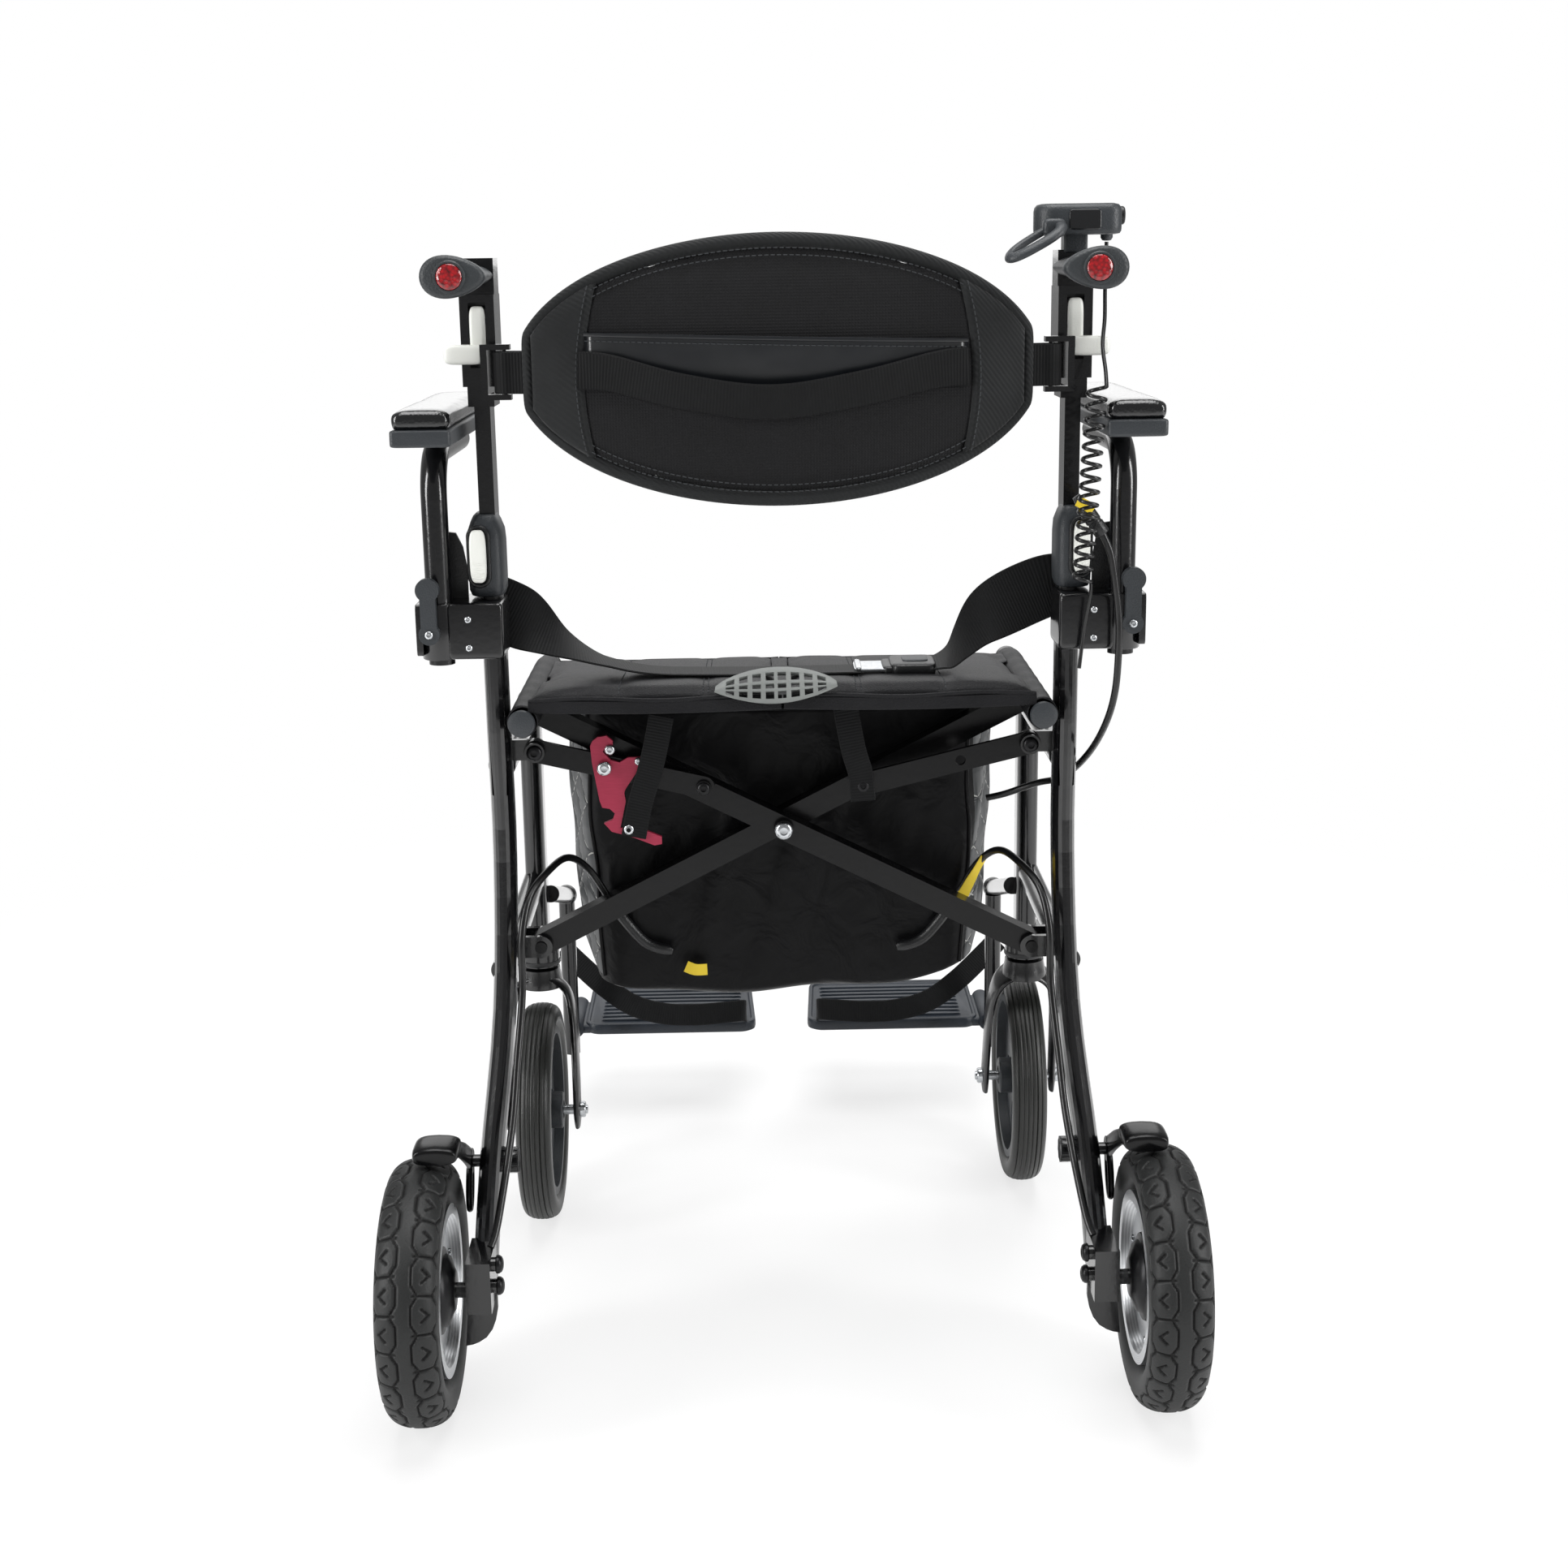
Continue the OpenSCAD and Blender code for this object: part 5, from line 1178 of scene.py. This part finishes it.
class CHAIR_OT_backrest(bpy.types.Operator):
    """Padded oval backrest with its bound edge, end panels, pocket, hand strap and end bands"""

    bl_idname = "chair.backrest"
    bl_label = "Backrest"

    def execute(self, context):
        n, m = 84, 44
        points = []
        for i in range(n + 1):
            x = 182.4 * math.sin(math.pi * (i / n - 0.5))
            high = max(back_rim(x), 14) - 2
            thick = 8.2 * (0.45 + 0.55 * (high / BACK_HIGH) ** 0.6)
            for j in range(m):
                a = 2 * math.pi * j / m
                c = power(math.cos(a), 0.5)
                s = power(math.sin(a), 0.5)
                points.append((x, back_middle(x) + thick * c, BACK_Z + high * s))
        pad = build("backrest_pad", points, flipped(capped(n + 1, m)), "canvas")
        swell(pad, 5.0, 2.2)
        back_bend(pad)
        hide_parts("backrest_left", "backrest_right")
        self.binding()
        self.end_panels()
        self.pocket()
        self.hand_strap()
        self.end_bands()
        return {"FINISHED"}

    def binding(self):
        """Twill binding over the edge, with two rows of stitches behind it."""
        arc = 183.0 * np.cos(np.linspace(0.02, math.pi - 0.02, 90))
        top = [(x, back_rim(x)) for x in arc]
        end = [(-183.0, z) for z in np.linspace(24, -24, 10)]
        rim = top + end + [(-x, -z) for x, z in top + end]
        rim = np.array([(x, back_middle(x), BACK_Z + z) for x, z in rim])
        rim = np.mean([np.roll(rim, k, 0) for k in range(-3, 4)], 0)
        edge = tube(rim, sizes().binding * 1000, 16, (0, 0, 1), True, 1.35)
        edge = build("backrest_binding", *edge, "twill")
        back_bend(edge)
        rows = []
        for inset, proud in ((5.5, 1.6), (10.5, 0.6)):
            line = []
            for p in rim:
                x = p[0] * (1 - inset / 183)
                z = BACK_Z + (p[2] - BACK_Z) * (1 - inset / BACK_HIGH)
                line.append((x, back_rear(x, z) - proud - 1.0, z))
            rows.append(stitches(np.array(line + line[:1]), 4.5, 3.0, 0.4))
        thread = build("backrest_binding_thread", *merge(*rows), "thread")
        back_bend(thread)

    def end_panels(self):
        """Stretch panels over both ends, standing a little proud of the canvas."""
        for name, side in SIDES.items():
            n, m = 14, 30
            points = []
            for i in range(n + 1):
                for j in range(m + 1):
                    w = j / m * 2 - 1
                    seam = 133 + 9 * (1 - w * w) - 2 * w
                    x = seam + (180.5 - seam) * i / n
                    z = BACK_Z + (back_rim(x) - 2.5) * w
                    proud = 1.9 if i else 0.6
                    points.append((x, back_rear(x, z) - proud, z))
            part = sided((np.array(points), strip(n + 1, m + 1, wrap_m=False)), side)
            panel = build(name + "_back_end_panel", *part, "twill", "backrest_" + name)
            thicken(panel, 1.2)
            seam = np.array([(p[0] + 3, p[1] - 1.6, p[2]) for p in points[m + 1:2 * m + 2]])
            line = sided(stitches(smooth(seam, 4), 4.5, 3.0, 0.4), side)
            build(name + "_end_panel_thread", *line, "thread", "backrest_" + name)

    def pocket(self):
        """Shiny pocket panel, open along its sloping top."""
        n, m = 48, 12
        points = []
        for i in range(n + 1):
            x = -141 + 279 * i / n
            top = 819 - 8 * i / n
            for j in range(m + 1):
                z = top + (770 + 22 * abs(i / n - 0.5) - top) * j / m
                loose = 4.5 * math.sin(math.pi * i / n) ** 0.7 * (1 - j / m) ** 0.6
                points.append((x, back_rear(x, z) - 2.3 - loose, z))
        panel = build("backrest_pocket", points, strip(n + 1, m + 1, wrap_m=False), "pocket")
        thicken(panel, 1.0)
        back_bend(panel)
        top = np.array(points[::m + 1])
        hem = tube(top - [0, 0.2, 1.5], 1.5, 8, (0, 0, 1), False, 0.8)
        hem = build("backrest_pocket_hem", *hem, "pocket")
        back_bend(hem)
        line = build("backrest_pocket_thread", *stitches(top - [0, 1.7, 6], 4.5, 3.0, 0.35), "thread")
        back_bend(line)

    def hand_strap(self):
        """Sagging webbing hand strap across the back."""
        sag = sizes().strap_sag * 1000
        line = smooth([(-146, 75, BACK_Z + 2), (-122, 68, BACK_Z), (-70, 56, BACK_Z - 0.62 * sag),
                       (-6, 48, BACK_Z - sag), (58, 55, BACK_Z - 0.62 * sag), (114, 67, BACK_Z - 1),
                       (139, 74, BACK_Z + 1)], 10)
        t = np.linspace(-1, 1, len(line))[:, None]
        across = np.array([0, -0.42, 1]) * (1 - t * t) + np.array([0, 0.05, 1]) * t * t
        points, faces, uv = ribbon(line, across, 28, 2.2)
        strap = build("backrest_hand_strap", points, faces, "webbing", uv=uv)
        back_bend(strap)

    def end_bands(self):
        """Bands from the ends of the backrest round the handle hinges."""
        for name, side in SIDES.items():
            loop = ((168, 92.5), (184, 95.5), (196, 98), (203, 98.6), (208.8, 102), (209.4, 106),
                    (206, 110.6), (200, 111), (188, 107), (176, 103))
            line = smooth([(x, y, BACK_Z) for x, y in loop], 6)
            points, faces, uv = ribbon(line, (0, 0, 1), 31, 1.8)
            points, faces = sided((points, faces), side)
            band = build(name + "_back_end_band", points, faces, "webbing", "backrest_" + name, uv=uv)


class CHAIR_OT_bag(bpy.types.Operator):
    """Open cloth bag under the seat, with quilted sides, a hem and seams"""

    bl_idname = "chair.bag"
    bl_label = "Bag"

    def execute(self, context):
        n, m, base = 34, 160, 10
        corners = [(-166, 226.5), (166, 226.5), (194, 364), (-194, 364)]
        loop, kind = self.outline(corners, 26, m)
        centre = np.array([0.0, 297.0])
        points, shade = [], []
        for k in range(n + 1):
            t = k / n
            for j, (x, y) in enumerate(loop):
                z = 509 - (240 - 14 * (abs(x) / 180) ** 4 - 0.03 * x) * t
                tuck = 1 - 0.025 * t ** 2
                fold = 2.4 * math.sin(9 * x / 100 + 5 * t) * math.sin(math.pi * t)
                fold *= 0.5 if kind[j] == 1 else 1
                fold += 1.6 * math.sin(0.21 * x + 14 * t + 2) * math.sin(math.pi * t) ** 2
                inward = 2.6 + fold + 3 * t ** 3
                p = centre + (np.array([x, y]) - centre) * [tuck, 1]
                d = (centre - p) / np.linalg.norm(centre - p)
                p = p + d * max(inward, 0.4)
                points.append((p[0], max(p[1], 226.0), z))
        rim = np.array(points[-m:])
        for k in range(1, base + 1):
            s = k / base
            for p in rim:
                q = centre + (p[:2] - centre) * math.cos(s * math.pi / 2) ** 0.75
                sag = 17 * math.sin(s * math.pi / 2) ** 0.8
                points.append((q[0], q[1], p[2] - sag + 2 * math.sin(0.05 * q[0])))
        faces = flipped(strip(n + base + 1, m))
        for i in range(n + base):
            for j in range(m):
                shade.append(1 if kind[j] == 1 and kind[(j + 1) % m] == 1 and i < n else 0)
        bag = build("under_seat_bag_piece", points, faces, ["bag", "quilt"], "left_frame", shade=shade)
        thicken(bag, 1.6)
        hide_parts("under_seat_bag")
        top = np.array(points[:m])
        hem = tube(top - [0, 0, 3], 1.5, 8, (0, 0, 1), True, 0.6)
        hem = build("bag_hem", *hem, "webbing", "left_frame")
        side_seams = []
        for j in range(m):
            if kind[j] != kind[(j + 1) % m]:
                side_seams.append(tube(np.array(points[j:(n + 1) * m:m]) * [1.004, 1, 1], 1.6, 8, (1, 0, 0)))
        seams = build("bag_seams", *merge(*side_seams), "bag", "left_frame")
        for piece in (bag, hem, seams):
            self.fold(piece)
        return {"FINISHED"}

    def outline(self, corners, radius, count):
        """Points round a rounded outline, and which wall each is on: 0 back, 1 side, 2 front."""
        dense, wall = [], []
        c = [np.array(p, float) for p in corners]
        for i in range(4):
            a, b, d = c[i], c[(i + 1) % 4], c[(i + 2) % 4]
            one, two = (b - a) / np.linalg.norm(b - a), (d - b) / np.linalg.norm(d - b)
            for s in np.linspace(0, 1, 60, endpoint=False):
                dense.append(a + one * radius + (b - a - 2 * radius * one) * s)
                wall.append((0, 1, 2, 1)[i])
            for s in np.linspace(0, 1, 12, endpoint=False):
                p0, p1 = b - one * radius, b + two * radius
                dense.append((1 - s) ** 2 * p0 + 2 * s * (1 - s) * b + s * s * p1)
                wall.append((0, 1, 2, 1)[i] if s < 0.5 else (1, 2, 1, 0)[i])
        dense = np.array(dense)
        along = np.concatenate([[0], np.cumsum(np.linalg.norm(np.roll(dense, -1, 0) - dense, axis=1))])
        pick = [int(np.searchsorted(along, s, "right") - 1)
                for s in np.linspace(0, along[-1], count, endpoint=False)]
        return dense[pick], [wall[i] for i in pick]

    def fold(self, piece):
        """Gives a bag piece a mesh of its own."""
        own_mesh(piece)


class CHAIR_OT_belts(bpy.types.Operator):
    """Lap belt with its buckle, pull straps and heel straps"""

    bl_idname = "chair.belts"
    bl_label = "Belts"

    def execute(self, context):
        left = smooth([(-229, 177.2, 606), (-214, 178, 598), (-196, 181, 587), (-172, 186, 571),
                       (-140, 193, 555), (-104, 199, 546.2), (-60, 202, 543.8), (-10, 203, 543.2),
                       (64, 203, 543.6)], 8)
        t = np.clip(np.linspace(0, 2, len(left)), 0, 1)[:, None]
        lean = np.array([0.55, -0.1, 0.9]) * (1 - t) ** 1.2 + np.array([0, 1, -0.06]) * t ** 1.2
        self.belt("lap_belt_left_piece", left, lean, "lap_belt_left", "left_frame", -0.2144)
        right = smooth([(228, 177.2, 614), (212, 178, 613), (186, 185, 601), (163, 192, 586),
                        (147, 198, 567), (136, 203, 552.5), (122, 204, 546.5)], 8)
        t = np.linspace(0, 1, len(right))[:, None]
        lean = np.array([-0.3, -0.1, 1.0]) * (1 - t) ** 1.3 + np.array([0, 1, 0.0]) * t ** 1.4
        self.belt("lap_belt_right_piece", right, lean, "lap_belt_right", "right_frame", 0.2144)
        body = merge(rounded_box((88, 178, 540.6), (125, 226, 551.5), 6),
                     rounded_box((82, 182, 541), (96, 222, 549), 6))
        buckle = build("belt_buckle_piece", *body, "black", "seat_right")
        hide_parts("belt_buckle")
        build("belt_button", *rounded_box((98, 190, 549), (119, 214, 552.8), 5), "slate", "seat_right")
        tongue = merge(rounded_box((59, 183, 544.4), (92, 221, 547.2), 8),
                       rounded_box((60, 181, 545), (65, 223, 549), 4))
        build("belt_tongue", *tongue, "zinc", "seat_right")
        for name, line, node, body in (
            ("latch_strap_piece", [(-121, 154.1, 418.5), (-115, 153.6, 446), (-104, 150.4, 482),
                                   (-96, 150.1, 517.8)], "latch_strap", "left_link"),
            ("link_strap_piece", [(64, 154.9, 445), (62, 153.9, 467), (56, 152.9, 489), (50, 153.9, 523)],
             "link_strap", "right_link"),
        ):
            line = smooth(line, 7)
            points, faces, uv = ribbon(line, (1, 0, 0), 20, 1.6)
            strap = build(name, points, faces, "webbing", body, uv=uv)
            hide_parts(node)
        for name, side in SIDES.items():
            line = smooth([(38, 606, 104), (38, 592, 112), (52, 581, 115), (86, 574, 115), (120, 573, 117),
                           (152, 575, 126), (180, 581, 144), (204, 589, 164), (224, 596, 182)], 7)
            points, faces, uv = ribbon(line, (0, 0.3, 1), 22, 1.6)
            points, faces = sided((points, faces), side)
            strap = build(name + "_heel_strap_piece", points, faces, "webbing", name + "_footplate", uv=uv)
            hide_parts(name + "_heel_strap")
        return {"FINISHED"}

    def belt(self, name, line, lean, node, body, anchor):
        """One half of the lap belt, standing on edge at the upright and lying flat on the seat."""
        points, faces, uv = ribbon(line, lean, 50, 1.7)
        belt = build(name, points, faces, "webbing", body, uv=uv)
        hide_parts(node)
        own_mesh(belt)


# Arms, handles, feet and controls
class CHAIR_OT_armrests(bpy.types.Operator):
    """Armrest pads on their moulded trays"""

    bl_idname = "chair.armrests"
    bl_label = "Armrests"

    def execute(self, context):
        for name, side in SIDES.items():
            pad = self.form(43.5, 228, 751.5, 765.5, 0.5, 5.0)
            pad = build(name + "_arm_pad", *sided(pad, side), "pad")
            swell(pad, 3.2, 1.2)
            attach(pad, name + "_armrest")
            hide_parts(name + "_armrest_pad")
            tray = self.form(44.6, 230, 739, 752, 0.22, 3.0)
            build(name + "_arm_tray", *sided(tray, side), "slate", name + "_armrest")
        return {"FINISHED"}

    def form(self, width, length, low, high, roundness, radius):
        """Bar with a top rounded by an exponent, and with its ends rounded by a radius."""
        steps = [radius * (1 - math.cos(q)) for q in np.linspace(0, math.pi / 2, 6)]
        straight = list(np.linspace(radius, length - radius, 26)[1:-1])
        along = steps + straight + [length - d for d in reversed(steps)]
        middle = (low + high) / 2
        m = 40
        points = []
        for d in along:
            near = min(d, length - d, radius)
            inset = radius - math.sqrt(max(radius ** 2 - (radius - near) ** 2, 0.0))
            for j in range(m):
                a = -2 * math.pi * j / m
                k = roundness if math.sin(a) > 0 else 0.2
                c = power(math.cos(a), k)
                q = power(math.sin(a), k)
                points.append((261.5 + (width / 2 - inset) * c, 60 + d,
                               middle + ((high - low) / 2 - inset * 0.8) * q))
        return np.array(points), capped(len(along), m)


class CHAIR_OT_handles(bpy.types.Operator):
    """Shaped grips with reflectors, release levers, post clamps and their levers"""

    bl_idname = "chair.handles"
    bl_label = "Handles"

    def execute(self, context):
        for name, side in SIDES.items():
            body = name + "_handle"
            points, n, m = [], 64, 44
            # The right grip sits a little nearer the middle
            middle = 221.0 if side > 0 else 225.5
            for i in range(n + 1):
                t = i / n
                y = 20 + 120 * t ** 1.3
                bulb = 1 / (1 + math.exp((t - 0.36) / 0.07))
                edge = 1 - 0.2 * math.exp(-t / 0.03)
                edge -= 0.02 * (math.sin(2 * math.pi * y / 7.5) > 0.7) * (0.5 < t < 0.95)
                for j in range(m):
                    a = 2 * math.pi * j / m
                    c, q = math.cos(a), math.sin(a)
                    points.append((middle + 2.0 * bulb + edge * (13 + 10.5 * bulb) * c, y,
                                   GRIP_Z - edge * (9.5 + 9 * bulb) * q * (0.8 + 0.2 * c)))
            grip = sided((np.array(points), capped(n + 1, m)), side)
            grip = build(name + "_grip_piece", *grip, "grip", body)
            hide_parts(name + "_grip")
            lens = lathe([(8.2, 0), (9.0, 0.4), (9.0, 1.6), (8.4, 2.3), (6, 2.9), (0, 3.2)],
                         ((middle + 3.5) * side, 20.3, GRIP_Z), (0, -1, 0), 40)
            lens = build(name + "_reflector_lens", *lens, "reflector", body)
            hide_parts(name + "_reflector")
            ring = lathe([(9.2, -1.5), (11.2, -1.0), (11.4, 0.8), (10.6, 1.9), (9.4, 1.9), (9.1, 0.4)],
                         ((middle + 3.5) * side, 20.5, GRIP_Z), (0, -1, 0), 40)
            build(name + "_reflector_bezel", *ring, "grip", body)
            tongue = rounded_box((218.9, 130.4, 797), (231.1, 153, 837.4), 5.0, 36, 28)
            ledge = rounded_box((218.9, 122, 795), (250.2, 134, 809.6), 4.5, 36, 28)
            lever = sided(merge(tongue, ledge), side)
            lever = build(name + "_release_lever_piece", *lever, "ivory", name + "_release_lever")
            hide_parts(name + "_release_lever")
            self.clamp(name, side)
        return {"FINISHED"}

    def clamp(self, name, side):
        """Rounded clamp housing with the armrest's sleeve, and its ivory lever in a dark recess."""
        shell, m = [], 40
        levels = ((618, 10, 15), (619, 12.5, 18), (623, 14, 20), (632, 14.3, 20.5), (660, 14.3, 20.5),
                  (669, 13.6, 20), (676, 11, 18), (680, 9, 16), (681.5, 7.4, 14))
        for z, wide, deep in levels:
            for j in range(m):
                a = 2 * math.pi * j / m
                c = power(math.cos(a), 0.55)
                q = power(math.sin(a), 0.55)
                shell.append((227.2 + wide * c, 150 + deep * q, z))
        shell = (np.array(shell), capped(len(levels), m))
        oval = []
        for q in np.linspace(0, 2 * math.pi, 48, endpoint=False):
            oval.append((231.4 + 7.6 * math.cos(q), 129.0,
                         650 + (15.0 if math.sin(q) > 0 else -15.0) + 7.6 * math.sin(q)))
        rim = tube(np.array(oval), 1.7, 10, (0, 1, 0), True)
        hollow = (np.array(oval) + [0, 0.6, 0], [tuple(range(len(oval)))])
        sleeve = merge(rounded_box((213.4, 112.6, 572.4), (257, 167, 616.6), 14, 40, 24),
                       lathe([(11, 0), (14, 0.4), (14.5, 1), (14.5, 43), (14, 43.6), (11, 44)],
                             (263, 126, 572), (0, 0, 1), 48),
                       rounded_box((274.8, 112, 576), (280.2, 140, 616), 14, 32, 16))
        shade = [0] * len(shell[1]) + [2] * (len(rim[1]) + 1) + [1] * len(sleeve[1])
        points, faces = sided(merge(shell, rim, hollow, sleeve), side)
        piece = build(name + "_post_clamp_piece", points, faces, ["slate", "enamel", "black"],
                      name + "_frame", shade=shade)
        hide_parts(name + "_post_clamp")
        edge = ((242.4, 616), (242.4, 640), (245, 656), (250, 667), (257, 668), (262, 660), (264, 640),
                (264, 616))
        flange = np.array([(x, y, z) for y in (141, 144.5) for x, z in edge])
        flange = sided((flange, capped(2, len(edge))), side)
        build(name + "_clamp_flange", *flange, "black", name + "_frame")
        lever = rounded_box((225.2, 120.4, 630.6), (237.8, 128.4, 671), 4, 32, 24)
        ridges = [np.array([(226.8, 121.5, z), (231.4, 120.1, z - 0.5), (236.2, 121.5, z)])
                  for z in (635, 638.5, 642, 645.5)]
        lever = sided(merge(lever, *[tube(line, 0.8, 8, (0, 1, 0)) for line in ridges]), side)
        piece = build(name + "_clamp_lever_piece", *lever, "ivory", name + "_clamp_lever")
        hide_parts(name + "_clamp_lever")


class CHAIR_OT_footplates(bpy.types.Operator):
    """Footplates with rounded corners, raised rims and tread ribs"""

    bl_idname = "chair.footplates"
    bl_label = "Footplates"

    def execute(self, context):
        corner_radius = 14
        outline = []
        for cx, cy, first in ((190, 702, 0), (45, 702, 90), (41, 605, 180), (190, 605, 270)):
            for q in np.linspace(first, first + 90, 9):
                outline.append((cx + corner_radius * math.cos(math.radians(q)),
                                cy + corner_radius * math.sin(math.radians(q))))
        outline = np.array(outline)
        middle = outline.mean(0)
        reach = outline - middle
        rings = []
        for inset, z in ((3, 88), (0.6, 89.5), (0, 92), (0, 97), (0.8, 99.2), (2.2, 100), (4, 99.6), (5, 98),
                         (5.5, 97.6)):
            pulled = middle + reach * (1 - inset / np.abs(reach).max(0))
            rings.append(np.column_stack([pulled, np.full(len(pulled), z)]))
        plate = (np.vstack(rings), capped(len(rings), len(outline)))
        ribs = [rounded_box((42, y, 96), (188, y + 5.5, 100), 5, 20, 8) for y in np.arange(607, 700, 11)]
        barrel = lathe([(8.4, 0), (9, 0.8), (9, 77), (8.4, 78)], (214, 593, 94), (0, 1, 0), 36)
        web = rounded_box((196, 594, 88.4), (213, 670, 98), 8)
        whole = merge(plate, barrel, web, *ribs)
        for name, side in SIDES.items():
            piece = build(name + "_footplate_piece", *sided(whole, side), "foot", name + "_footplate")
            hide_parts(name + "_footplate")
        return {"FINISHED"}


class CHAIR_OT_controls(bpy.types.Operator):
    """Case, window, speed paddle and side knob of the controller"""

    bl_idname = "chair.controls"
    bl_label = "Controls"

    def execute(self, context):
        case = []
        corners = ((243, 146, 14, 0), (208, 146, 14, 90), (208, 134, 16, 180), (247, 128, 10, 270))
        levels = ((5, 883.2), (1.4, 883.8), (0.2, 885.6), (0, 888), (0, 900), (0.6, 902.8), (2.4, 904.8),
                  (6, 905.7))
        for inset, z in levels:
            for cx, cy, r, first in corners:
                for q in np.radians(np.linspace(first, first + 90, 10)):
                    case.append((cx + (r - inset) * math.cos(q), cy + (r - inset) * math.sin(q), z))
        case = (np.array(case), capped(len(levels), 40))
        neck = rounded_box((216, 138, 870), (234, 158, 888), 10)
        gland = lathe([(3.5, 0), (4.6, -0.5), (4.6, -3), (3.4, -5), (2, -5.4)], (249, 146, 884), (0, 0, 1),
                      28)
        box = build("controller_piece", *merge(case, neck, gland), "slate", "right_handle")
        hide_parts("controller")
        window = rounded_box((216.8, 117.2, 886.6), (240.4, 120, 901.2), 9)
        build("controller_window", *window, "window", "right_handle")
        # Speed paddle: a flat loop that slopes down to the left, behind the case
        middle, reach, depth = np.array([190, 103, 878.5]), np.array([19, 2, 10.5]), np.array([0, 10, 3.4])
        loop = []
        for q in np.linspace(0, 2 * math.pi, 48, endpoint=False):
            u = power(math.cos(q), 0.75)
            v = power(math.sin(q), 0.85) * (1 + 0.1 * u)
            loop.append(middle + u * reach + v * depth)
        ring = tube(np.array(loop), 3.0, 14, (0, 0, 1), True, 1.5)
        boss = rounded_box((196, 106, 881.5), (213, 119.4, 895), 4)
        paddle = build("controller_paddle_piece", *merge(ring, boss), "slate", "controller_paddle")
        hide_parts("controller_paddle")
        knob = lathe([(6.4, 0), (6.8, 1), (6.8, 5), (5.8, 6), (0, 6.4)], (257, 152, 897), (1, 0, 0), 28)
        build("controller_side_knob", *knob, "black", "right_handle")
        return {"FINISHED"}


class CHAIR_OT_fasteners(bpy.types.Operator):
    """Screws, bolts and knobs"""

    bl_idname = "chair.fasteners"
    bl_label = "Fasteners"

    def execute(self, context):
        back = (0, -1, 0)
        build("brace_bolt", *screw((0, 167.7, 418), back, 7.6, 4.5), "zinc", "cross_bar_a")
        plate = [screw((x, 155.4, z), back, r, 3) for x, z, r in ((-138.0, 490.5, 4.4), (-115.4, 480.6, 3.4),
                                                                  (-124.8, 424.6, 4.6))]
        build("latch_screws", *merge(*plate), "zinc", "latch")
        build("latch_pivot_screw", *screw((-142.6, 152.6, 475.8), back, 6.0, 3.6), "zinc", "latch")
        for name, side in SIDES.items():
            bolt = screw((198 * side, 154, 489), back, 6.4, 3.4)
            build(name + "_link_bolt", *bolt, "dark_steel", name + "_frame")
            bolt = screw((64 * side, 156, 457), back, 5.4, 3.0)
            build(name + "_link_inner_bolt", *bolt, "dark_steel", name + "_link")
            dome = [screw((227.5 * side, 2, z), (-side, 0, 0), 7.2, 5.0) for z in (103.6, 121.6)]
            build(name + "_axle_plate_bolts", *merge(*dome), "dark_steel", name + "_frame")
            sleeve = [screw((240 * side, 112.6, z), back, 2.8, 2.0) for z in (582, 604)]
            build(name + "_sleeve_screws", *merge(*sleeve), "zinc", name + "_frame")
            head = screw((269 * side, 104, 594), back, 3.4, 2.2)
            build(name + "_cam_screw", *head, "zinc", name + "_cam_lever")
            # Fluted knob on the brake's pivot
            teeth = [(q, 10.6 if i % 2 else 9.4)
                     for i, q in enumerate(np.linspace(0, 2 * math.pi, 18, endpoint=False))]
            rings = ((217.4, 0.75), (216.2, 0.95), (215.8, 1.0), (222, 1.0), (228, 0.98))
            points = np.array([(x * side, 80 + r * s * math.cos(q), 173.6 + r * s * math.sin(q))
                               for x, s in rings for q, r in teeth])
            faces = capped(len(rings), len(teeth))
            faces = flipped(faces) if side > 0 else faces
            build(name + "_brake_knob", points, faces, "black", name + "_frame")
        return {"FINISHED"}


OPERATORS = (CHAIR_OT_stage, CHAIR_OT_cords, CHAIR_OT_finishes, CHAIR_OT_rear_wheels, CHAIR_OT_casters,
             CHAIR_OT_seat, CHAIR_OT_backrest, CHAIR_OT_bag, CHAIR_OT_belts, CHAIR_OT_armrests,
             CHAIR_OT_handles, CHAIR_OT_footplates, CHAIR_OT_controls, CHAIR_OT_fasteners)


class VIEW3D_PT_chair(bpy.types.Panel):
    """Lists the chair's sizes, colours and pieces"""

    bl_label = "Chair"
    bl_space_type = "VIEW_3D"
    bl_region_type = "UI"
    bl_category = "Chair"

    def draw(self, context):
        for group in (sizes(), colours()):
            for key in group.__annotations__:
                self.layout.prop(group, key)
        for op in OPERATORS:
            self.layout.operator(op.bl_idname)


CLASSES = (ChairSizes, ChairColours, *OPERATORS, VIEW3D_PT_chair)


def register():
    for c in CLASSES:
        bpy.utils.register_class(c)
    bpy.types.Scene.chair_sizes = bpy.props.PointerProperty(type=ChairSizes)
    bpy.types.Scene.chair_colours = bpy.props.PointerProperty(type=ChairColours)


def unregister():
    del bpy.types.Scene.chair_sizes
    del bpy.types.Scene.chair_colours
    for c in reversed(CLASSES):
        bpy.utils.unregister_class(c)


def main():
    """Makes every piece."""
    register()
    for op in OPERATORS:
        getattr(bpy.ops.chair, op.bl_idname.split(".")[1])()


if __name__ == "__main__":
    main()
